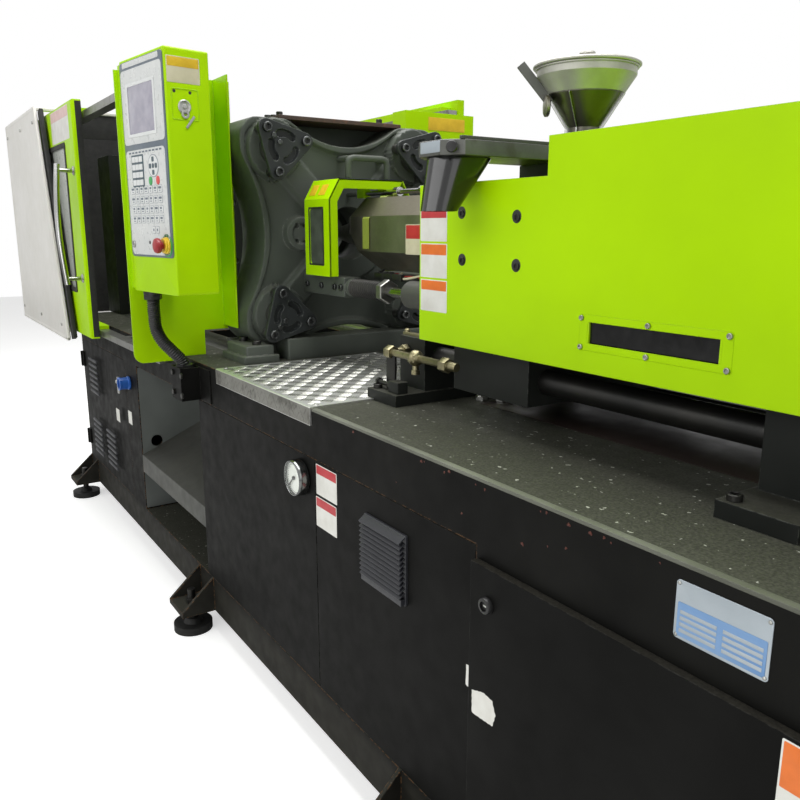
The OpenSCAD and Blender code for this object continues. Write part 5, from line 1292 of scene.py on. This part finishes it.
class MACHINE_OT_hopper(bpy.types.Operator):
    """Hopper cone, its lid and lever, the slide plate and the drain spout"""
    bl_idname = "machine.hopper"
    bl_label = "Hopper"

    def execute(self, context):
        self.cone()
        self.lid_and_lever()
        self.slide()
        return {"FINISHED"}

    def cone(self):
        """Lower cone, upper band, base plate and the four straps up the cone."""
        low = lathe([(29, SLIDE_SEAT), (58, SLIDE_SEAT), (58, 1412), (33, 1414), (32, 1451), (76, 1514.5), (76, 1517),
                     (73.4, 1517), (29, 1452), (29, SLIDE_SEAT)], 64)
        up = lathe([(74.5, 1516), (77.5, 1516), (100, 1549.6), (100, 1563), (103.5, 1563), (103.5, 1566), (97, 1566),
                    (97, 1550), (74.5, 1516)], 64)
        place = on_top(HOPPER_X, 0, 0)
        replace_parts(put("hopper_cone", at(low, **place), "dark_stainless", "stainless", body="hopper"), "hopper")
        put("hopper_band", at(up, **place), "spun_stainless", "stainless", body="hopper")
        base = at(ring_plate(52, 62, 6, (0, 0, 30, 30, 30), 12, 1), **on_top(HOPPER_X, 0, SLIDE_SEAT))
        put("hopper_base", base, *MACHINED, body="hopper")
        line = np.array([(34, 1412), (33.6, 1452), (77.4, 1516)])
        strap = np.array([(-7, -1), (7, -1), (7, 1), (-7, 1)])
        straps = []
        for a in (-2.05, -1.2, 0.4, 2.2):
            c, s = math.cos(a), math.sin(a)
            foot, neck, rim = np.stack([HOPPER_X + line[:, 0] * c, line[:, 0] * s, line[:, 1]], -1)
            path = np.concatenate([np.linspace(foot, neck, 4), np.linspace(neck, rim, 6)[1:]])
            straps.append(sweep(path, strap, (s, -c, 0.01)))
        put("hopper_straps", join(*straps), "hard_chrome", "stainless", 30, body="hopper")

    def lid_and_lever(self):
        """Lid with its knob and hinge knuckle, and the lever on its disc."""
        lid = lathe([(0, 1566.4), (106, 1566.4), (108, 1568), (108, 1571), (104, 1573.6), (20, 1574), (16, 1576),
                     (15, 1590), (17, 1594), (15, 1598), (0, 1598)], 64)
        knuckle = at(rod(6, 60, 20), **facing_x(HOPPER_X - 30, 108, 1572.3))
        lid = join(at(lid, **on_top(HOPPER_X, 0, 0)), knuckle)
        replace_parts(put("hopper_cover", lid, "spun_stainless", "stainless", body="lid"), "hopper_lid")
        d = np.array([-0.55, -0.62, 1.0])
        d /= np.linalg.norm(d)
        foot, across = np.array([HOPPER_X - 34, -66, 1500.0]), (0.8, -0.5, 0)
        lever = sweep(np.linspace(foot, foot + 96 * d, 8), [(-9, -2.5), (9, -2.5), (9, 2.5), (-9, 2.5)], across)
        put("hopper_lever", lever, *MACHINED, 30, body="hopper")
        pivot = lathe([(0, 0), (19, 0), (21, 2), (21, 8), (18, 10), (0, 11)], 32)
        pivot = at(pivot, (HOPPER_X - 30, -72, 1492), across, (0, 0, 1))
        put("lever_disc", pivot, "oily_stainless", "stainless", body="hopper")

    def slide(self):
        """Slide plate with cut corners, its rails, tag and knob, and the drain spout under it."""
        poly = np.array([(872, 130), (872, -360), (904, -392), (970, -392), (1002, -360), (1002, 130)], float)
        mid = poly.mean(0)
        rings = []
        for inset, z in ((1.2, SLIDE_LOW), (0, 1377.2), (0, 1402.8), (1.2, SLIDE_TOP)):
            q = mid + (poly - mid) * (1 - inset / 65)
            sides = [np.linspace(q[k], q[(k + 1) % 6], 8, endpoint=False) for k in range(6)]
            rings.append(np.c_[np.concatenate(sides), np.full(48, z)])
        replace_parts(put("slide_plate", loft(rings), *MACHINED, 30, body="carriage"), "hopper_slide")
        down = np.linspace(1375.5, 1280, 12)
        up = np.linspace(1280, 1375.5, 12)
        wall = [spout_ring(0, z) for z in down] + [spout_ring(3, z) for z in up]
        spout = (np.concatenate(wall + wall[:1]), grid(25, 48))
        put("drain_spout", spout, "polished_black_plastic", "stainless", 50, body="carriage")
        tag = at(slab(30, 10, 2, 0.8, 0.3), **front(940, -392, 1392))
        put("slide_tag", tag, "etched_aluminium", "stainless", body="carriage")
        rails = many(slab(5, 245, 2, 6, 1), [on_top(x, -120, SLIDE_TOP) for x in (879, 995)])
        put("slide_rails", rails, "graphite_enamel", "stainless", body="carriage")
        knob = lathe([(0, 0), (5, 0), (5, 7), (9, 9), (10.5, 13), (9, 17), (0, 18.5)], 28)
        put("slide_knob", at(knob, (986, -376, 1390), (0.707, 0.707, 0), (0, 0, 1)), *MOULDED, body="carriage")


class MACHINE_OT_guards(bpy.types.Operator):
    """Gate edge, handle, window slot and label, cover rims, post plate and cabinet louvres"""
    bl_idname = "machine.guards"
    bl_label = "Guards and cabinet"

    def execute(self, context):
        self.gate()
        self.clamp_cover()
        put("post_plate", at(slab(81, 22, 2, 1, 0.3), **facing_x(-229.4, 518, 1612)), "sticker_yellow", "green_paint")
        self.cabinet()
        return {"FINISHED"}

    def gate(self):
        """Rolled edge, rubber strip, bowed handle, window frame and blank label of the front gate."""
        x = -984
        circle = 6 * np.stack([np.cos(turns(16)), np.sin(turns(16))], -1)
        roll = sweep(np.linspace((x, GATE_FRONT, 840), (x, GATE_FRONT, 1699), 12), circle, (1, 0, 0))
        put("gate_edge_roll", roll, "lime_powder_coat", "green_paint", 50, body="front_gate")
        strip = at(slab(11, 428, 2, 1.4, 0.5), **facing_x(-978, -581, 1269.5))
        put("gate_edge_rubber", strip, *RUBBER, 40, body="front_gate")
        x, ends = -1040, (1062, 1458)
        s = np.linspace(0, 1, 60)
        bow = np.stack([np.full(60, float(x)), -658 - 14 * np.sin(np.pi * s), 1040 + 440 * s], -1)
        posts = [tube(np.linspace((x, GATE_FRONT, z), (x, -660, z), 4), 8, 16) for z in ends]
        pad = lathe([(0, 0), (17, 0), (17, 3), (13, 6), (0, 6)], 28)
        pads = many(pad, [front(x, GATE_FRONT, z) for z in ends])
        handle = join(tube(bow, 10.5, 20, (1, 0, 0)), *posts, pads)
        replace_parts(put("bowed_handle", handle, "hard_chrome", "chrome_bar", 50, body="front_gate"), "gate_handle")
        pane = at(ring_plate(*WINDOW_FRAME), **front(-1488, GATE_FRONT, 1285))
        put("gate_window_frame", pane, *RUBBER, body="front_gate")
        label("gate_label", front(-1230, GATE_FRONT, 1636), 330, 120, "sticker_rose", "front_gate", share=0.34)

    def clamp_cover(self):
        """Rims, bridge and screws of the white clamp cover, and black strips along its slanted edges, a black baffle
        under the bridge and a black lining inside that paint the shade in its gaps and interior.
        """
        left, cut, right, low, high, out = -2332, -1537, -1246, 810, 1731, 634
        for side, word in SIDES:
            y = side * out
            edges = [((cut, y, high), (right, y, low), 13), ((left, y, high), (cut, y, high), 9),
                     ((left, y, low), (right, y, low), 9), ((left, y, low), (left, y, high), 9)]
            rim = [sweep(np.linspace(a, b, 12), rounded(wide, 7, 5), (0, 1, 0)) for a, b, wide in edges]
            put("cover_rim_" + word, join(*rim), *IVORY, 50)
        # Black strips along the slanted edges paint the shade in the gap between cover and gate
        for side, word in SIDES:
            line = np.linspace((-1507, side * 616, 1722), (-1222, side * 616, 812), 24)
            gap_shade = sweep(line, rounded(22, 8, 3), (0, 1, 0))
            put("cover_gap_shade_" + word, gap_shade, *RUBBER, 40)
        put("cover_bridge", sweep(np.linspace((cut, -out, high), (cut, out, high), 12), rounded(9, 8, 5)), *IVORY, 50)
        # Black baffle under the bridge: its black paints the shade inside the cover's top
        put("cover_shade_baffle", at(slab(515, 53, 3, 3, 1), **facing_x(-1540, 0, 1678)), *RUBBER)
        ends = [sweep(np.linspace((left - 1, -out, z), (left - 1, out, z), 12), rounded(7, 9, 5)) for z in (low, high)]
        put("cover_rim_end", join(*ends), *IVORY, 50)
        heads = many(cap_screw(7, 4), [place(x, y, z) for y, place in ((-640, front), (640, rear))
                                       for x, z in ((-2290, 860), (-1800, 860), (-1330, 860),
                                                    (-2290, 1680), (-1900, 1680), (-1570, 1680))])
        put("cover_screws", heads, *ZINC)
        # Black lining inside the cover paints the shade of its interior
        line = bent([(-1560, -632), (-2322, -632), (-2322, 632), (-1560, 632)], 12, 5)
        put("cover_shade_lining", at(folded(line, 3, 806, 1728), **on_top(0, 0, 0)), *RUBBER)

    def cabinet(self):
        """Louvres, latch and tags of the electric cabinet, and the mains socket."""
        banks = many(louvre_bank(7), [front(x, DOOR_FRONT, z) for x, z in ((-1450, 534), (-1450, 254), (-1210, 254))])
        put("cabinet_louvres", banks, "louvre_enamel", "black_paint", body="cabinet_door")
        latch = [at(slab(12, 34, 6, 7, 2), **front(-1010, DOOR_FRONT, 640)),
                 at(lathe([(0, 7), (8, 7), (8, 12), (5, 14), (0, 14)], 20), **front(-1010, DOOR_FRONT, 655))]
        put("cabinet_latch", join(*latch), *ZINC, body="cabinet_door")
        for k, (place, body) in enumerate(((front(-1070, DOOR_FRONT, 505), "cabinet_door"),
                                           (front(-936, BED_FRONT, 520), "machine"))):
            tag = at(slab(26, 26, 2, 0.6, 0.2), **place)
            put("cabinet_tag_%d" % k, tag, "sticker_white", "black_paint", body=body)
        cup = lathe([(0, 0), (24, 0), (26, 3), (26, 8), (23, 10), (23, 34), (25, 36), (25, 42), (19, 42), (18, 22),
                     (0, 22)], 40)
        cup = put("mains_socket", at(cup, **front(-905, BED_FRONT, 665)), "moulded_blue", "blue_plastic")
        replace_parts(cup, "power_socket")


CHIPS = ((978, 787), (1176, 788), (1324, 786), (1377, 801), (1413, 811), (1456, 848), (1492, 847), (1480, 850),
         (1059, 848), (1068, 850), (1127, 846), (1140, 851), (1360, 849), (1372, 851), (1416, 847), (1211, 848),
         (1234, 846), (820, 849), (1570, 848), (1841, 848), (1930, 847), (2080, 849), (2196, 846))


class MACHINE_OT_deck(bpy.types.Operator):
    """Bay wall, dark deck sheet, painted edge highlight and paint wear of the bed, and screws, pipes and brackets on
    the deck
    """
    bl_idname = "machine.deck"
    bl_label = "Deck fittings"

    def execute(self, context):
        self.wear()
        self.seats()
        self.brass_pipe()
        self.oil_pipes()
        put("cylinder_screws", many(cap_screw(14, 14), around(facing_back, -1762, 150, 12)), *BLACK_STEEL)
        return {"FINISHED"}

    def wear(self):
        """Enamelled wall of the part-drop bay, lightened as painted light for the bay's shade, a darker smooth brown
        sheet on the deck, a pale front edge that paints the highlight of its rounding with some rubbed wear, and chips
        in the bed's paint.
        """
        # Grey wall of the bay, its tone lightened as painted light for the bay's shade
        wall = ring_plate(168, 276, 3, (-113, -13, 22, 22, 22), 0.6, 0.2)
        put("bay_wall", at(wall, **facing_x(-794, -320, 464)), "grey_bay_enamel_painted_light", "black_paint")
        # Darker smooth brown sheet on the deck under the injection cover
        dark_sheet = at(slab(720, 146, 4, 0.8, 0.2), **on_top(1520, 0, DECK))
        put("dark_deck_sheet", dark_sheet, "dark_brown_deck_enamel", "black_paint")
        # Pale band over the front edge: painted highlight of the edge's rounding, with some rubbed wear
        skin = 0.05
        y, z = BED_FRONT - skin, DECK + skin
        edge = at(folded(bent([(y, 856), (y, z), (-478, z)], 0.6, 4), 0.4, 638, 2338), **facing_x(0, 0, 0))
        put("bed_edge_highlight_strip", edge, "bed_edge_highlight_and_wear", "black_paint")
        chips, ang = [], turns(24)
        for k, (x, z) in enumerate(CHIPS):
            ray = (1.1 + 0.7 * (k % 3)) * (1 + 0.45 * np.sin(ang + k) ** 2 + 0.22 * np.sin(3 * ang + 2 * k))
            chips.append(at(field_plate(ray, lambda u, v: 0.15 + 0 * u, 3, 0, 0.05), **front(x, y, z)))
        put("paint_chips", join(*chips), "red_primer", "black_paint")

    def seats(self):
        """Screws, adjusters and stops of the seat blocks."""
        heads = many(cap_screw(11, 10), [on_top(x, y, SEAT_TOP) for x in (628, 1548, 2188)
                                         for y in (-312, -150, 150, 312)])
        put("seat_screws", heads, *BLACK_STEEL)
        adjust, z = [], 900
        for y in (-304, 304):
            adjust += [at(hex_bolt(10, 8), **facing_back(624, y, z)), at(rod(5.5, 58, 16), **facing_x(623, y, z)),
                       at(rod(8.5, 7, six=(1, 2)), **facing_x(668, y, z))]
        put("seat_adjusters", join(*adjust), *BLACK_STEEL, 40)
        posts = many(slab(20, 14, 2, 26, 1.5), [on_top(700, y, SEAT_TOP) for y in (-304, 304)])
        put("seat_stops", posts, "black_block_enamel", "dark_steel", 40)

    def brass_pipe(self):
        """Brass pipe with its ball joint, elbow and nuts, its bracket, and the brass links on the seat."""
        y, z = -292, 972
        nut = lathe([(8, 0), (13, 0), (14, 2), (14, 22), (13, 24), (8, 24)], 24, six=(1, 2, 3, 4))
        pipe = lathe([(0, 0), (8, 0), (8, 222), (9.6, 224), (9.6, 262), (8, 265), (0, 265)], 24)
        stem = lathe([(0, 0), (9, 0), (9, 8), (7, 10), (7, 36), (0, 36)], 20, six=(1, 2))
        brass = [at(pipe, **facing_x(635, y, z)), at(ball(18, 15, 24), **facing_x(752, y, z)),
                 at(stem, **on_top(752, y, 936)), tube(np.linspace((652, y, z), (652, -244, z), 4), 8.5, 18),
                 at(pipe_nut(13, 16), (652, -261, z), (1, 0, 0), (0, 0, -1)),
                 many(nut, [facing_x(x, y, z) for x in (640, 740, 850)])]
        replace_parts(put("brass_pipe", join(*brass), *BRASS, 40), "pipe_fittings")
        put("pipe_bracket", at(slab(18, 42.5, 3, 5, 1), **front(658, y, 929.5)), *BLACK_STEEL)
        rows = (-226, -178)
        links = [many(slab(58, 7, 2, 6, 1), [on_top(670, row, 1005) for row in rows]),
                 many(lathe([(0, 0), (7, 0), (7, 5), (4, 8), (0, 8)], 20),
                      [on_top(x, row, 1011) for x in (622, 718) for row in rows])]
        put("seat_links", join(*links), *BRASS, 40)

    def oil_pipes(self):
        """Three bent oil pipes over the deck with a nut at each end."""
        pipes, nuts, top = [], [], 882
        for k in range(3):
            x, y, end, far = 770 + 34 * k, -118 + 30 * k, 1480 - 30 * k, 262 - 22 * k
            line = bent([(x, y, DECK), (x, y, top), (x, far, top), (end, far, top), (end, far, DECK)], 20, 7)
            pipes.append(tube(line, 8, 14, (0.31, 0.17, 0.94)))
            nuts += [on_top(x, y, DECK), on_top(end, far, DECK)]
        put("oil_pipes", join(*pipes), *BLACK_STEEL, 60)
        put("oil_pipe_nuts", many(pipe_nut(13, 11), nuts), *ZINC)


class MACHINE_OT_rear_side(bpy.types.Operator):
    """Screwed panels, sight glass and breather behind, and the rear gate's window"""
    bl_idname = "machine.rear_side"
    bl_label = "Rear side"

    def execute(self, context):
        mid_z, tank_x = 465, 330
        plates, heads, banks = [], [], []
        for x, half, vents in ((-1280, 410, 1), (-420, 430, 1), (590, 560, 0), (1740, 570, 1)):
            plates.append(at(slab(half, 262, 6, 2.5, 1), **rear(x, -BED_FRONT, mid_z)))
            heads += [rear(x + sx * (half - 18), PANEL_BACK, mid_z + sz * 244) for sx in (-1, 0, 1) for sz in (-1, 1)]
            banks += [rear(x + dx, PANEL_BACK, 320) for dx in (-130, 130) if vents]
        put("rear_panels", join(*plates), "black_door_enamel", "black_paint")
        put("rear_panel_screws", many(cap_screw(7, 5), heads), *ZINC)
        put("rear_louvres", many(louvre_bank(9), banks), "black_door_enamel", "black_paint")
        sight = [at(ring_plate(17, 76, 8, (0, 0, 8, 52, 8), 12, 2), **rear(tank_x, PANEL_BACK, 470))]
        sight += [at(hex_bolt(9, 6), **rear(tank_x, 505.5, 470 + dz)) for dz in (-64, 64)]
        put("oil_sight_frame", join(*sight), *ZINC)
        put("oil_sight_tube", at(slab(8.4, 52.4, 8, 8, 3), **rear(tank_x, PANEL_BACK, 470)), "sight_oil", "brass")
        plug = lathe([(0, 0), (30, 0), (30, 6), (20, 8), (20, 18), (17, 21), (0, 21)], 30, six=(3, 4))
        put("drain_plug", at(plug, **rear(tank_x, PANEL_BACK, 232)), *ZINC)
        cap = lathe([(0, 0), (46, 0), (46, 5), (34, 7), (34, 14), (40, 18), (42, 24), (42, 58), (38, 66), (24, 70),
                     (0, 71)], 48)
        put("tank_breather", at(cap, **on_top(1150, 415, DECK)), "polished_black_plastic", "black_plastic")
        gland = lathe([(0, 0), (34, 0), (34, 9), (28, 11), (28, 26), (20, 34), (15, 34), (14, 20), (0, 20)], 36,
                      six=(1, 2))
        put("mains_gland", at(gland, **rear(-1560, PANEL_BACK, 640)), *MOULDED)
        pane = at(slab(318, 273, 6, 2, 0.6), **rear(-745.4, 595, 1285))
        put("rear_pane", pane, "frosted_polycarbonate", "smoked_window", body="rear_gate")
        ring = at(ring_plate(*WINDOW_FRAME), **rear(-745.4, -GATE_FRONT, 1285))
        put("rear_window_frame", ring, *RUBBER, body="rear_gate")
        seam = many(disc(4.5, 2, 0.8), [rear(x, -COVER_FRONT, z) for x in (800, 1160, 1580, 2010)
                                        for z in (1300, 1030)])
        put("cover_rivets_far", seam, *ZINC, body="carriage")
        return {"FINISHED"}


class MACHINE_OT_drive(bpy.types.Operator):
    """Pump motor, cabinet devices, clamp cylinder and the moving platen's bushes"""
    bl_idname = "machine.drive"
    bl_label = "Drive and cabinet inside"

    def execute(self, context):
        self.motor()
        self.devices()
        put("cylinder_cap_screws", many(cap_screw(13, 13), around(facing_back, -2260, 148, 12)), *BLACK_STEEL)
        block = [at(slab(70, 46, 4, 44, 3), **on_top(-2060, 0, AXIS_Z + 126))]
        block += [at(hex_bolt(20, 14), **on_top(-2060 + dx, 0, AXIS_Z + 170)) for dx in (-34, 34)]
        put("cylinder_ports", join(*block), "graphite_enamel", "dark_steel")
        ring = lathe([(39.5, 0), (62, 0), (62, 8), (60, 10), (39.5, 10), (39.5, 0)], 40)
        bushes, screws = [], []
        for y, z in TIES:
            for place, x, out in ((facing_x, -990, 10), (facing_back, -1190, -10)):
                bushes.append(place(x, y, AXIS_Z + z))
                screws += around(place, x + out, 51, 6, y, AXIS_Z + z)
        put("bush_rings", many(ring, bushes), "ground_steel", "zinc_plate", body="moving_platen")
        put("bush_screws", many(cap_screw(5.5, 5), screws), *BLACK_STEEL, body="moving_platen")
        ways = many(slab(655, 24, 1, 0.2, 0.05), [on_top(-895, y, DECK) for y in (-318, 318)])
        put("slideways", ways, "ground_steel", "rail_steel")
        return {"FINISHED"}

    def motor(self):
        """Finned motor with its hoods and terminal box, the fan's vents as dark slots of painted shade, and the pump's
        screws.
        """
        fan = lathe([(0, 0), (60, 0), (120, 8), (136, 20), (136, 74), (0, 74)], 48)
        hood = lathe([(0, 0), (136, 0), (136, 40), (100, 56), (0, 56)], 48)
        shell = [at(finned(127, 138, 44, 300), **facing_x(1430, 0, MOTOR_Z)), at(fan, **facing_x(1352, 0, MOTOR_Z)),
                 at(hood, **facing_x(1732, 0, MOTOR_Z)),
                 at(slab(62, 46, 5, 58, 4), **on_top(1570, 0, 490))]
        put("motor_shell", join(*shell), "grey_motor_enamel", "motor_grey", 40)
        vents = []
        for a in turns(20):
            c, s = math.cos(a), math.sin(a)
            vents.append(at(slab(26, 3.2, 3, 1, 0.3), (1356, 84 * c, MOTOR_Z + 84 * s), (0, -c, s), (0, s, c)))
        put("motor_vent_shades", join(*vents), *HOLE_SHADE)
        put("pump_screws", many(cap_screw(9, 9), around(facing_x, 2006, 62, 6, 0, MOTOR_Z)), *BLACK_STEEL)

    def devices(self):
        """Fronts, terminals and screws of six switching devices, and the wire ducts between them."""
        dark, pale, heads = [], [], []
        for x, z in [(-1502 + 210 * i, 378 + 170 * j) for i in range(3) for j in range(2)]:
            pale.append(front(x, 369, z))
            dark += [front(x, 369, z + dz) for dz in (-39, 39)]
            heads += [front(x + dx, 361, z + dz) for dx in range(-50, 51, 25) for dz in (-39, 39)]
        put("device_fronts", many(slab(54, 22, 3, 18, 2), pale), "key_foil_pale", "panel_white")
        put("device_terminals", many(slab(70, 13, 2, 8, 1), dark), *MOULDED)
        put("device_screws", many(cap_screw(4, 2), heads), *ZINC)
        ducts = many(slab(300, 14, 2, 48, 1.5), [front(-1292, 459, z) for z in (296, 463, 630)])
        put("wire_ducts", ducts, "panel_foil_slate", "panel_white")


class MACHINE_PT_panel(bpy.types.Panel):
    """Sidebar panel that lists the operators"""
    bl_idname = "MACHINE_PT_panel"
    bl_label = "Moulding machine"
    bl_space_type = "VIEW_3D"
    bl_region_type = "UI"
    bl_category = "Moulding machine"

    def draw(self, context):
        for op in STEPS:
            self.layout.operator(op)


CLASSES = [FinishColours, MachineSizes, MACHINE_OT_stage, MACHINE_OT_finishes, MACHINE_OT_operator_panel,
           MACHINE_OT_conduit, MACHINE_OT_bed_front, MACHINE_OT_tread, MACHINE_OT_platen, MACHINE_OT_purge_guard,
           MACHINE_OT_injection_side, MACHINE_OT_hopper, MACHINE_OT_guards, MACHINE_OT_deck,
           MACHINE_OT_rear_side, MACHINE_OT_drive, MACHINE_PT_panel]
STEPS = [c.bl_idname for c in CLASSES if issubclass(c, bpy.types.Operator)]


def register():
    """Register the classes and hang the property groups on the scene."""
    for c in CLASSES:
        bpy.utils.register_class(c)
    bpy.types.Scene.machine_colours = bpy.props.PointerProperty(type=FinishColours)
    bpy.types.Scene.machine_sizes = bpy.props.PointerProperty(type=MachineSizes)


def unregister():
    """Take the property groups and classes away again."""
    del bpy.types.Scene.machine_sizes
    del bpy.types.Scene.machine_colours
    for c in reversed(CLASSES):
        bpy.utils.unregister_class(c)


def main():
    """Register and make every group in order."""
    register()
    for step in STEPS:
        group, name = step.split(".")
        getattr(getattr(bpy.ops, group), name)()
    bpy.context.view_layer.update()


if __name__ == "__main__":
    main()
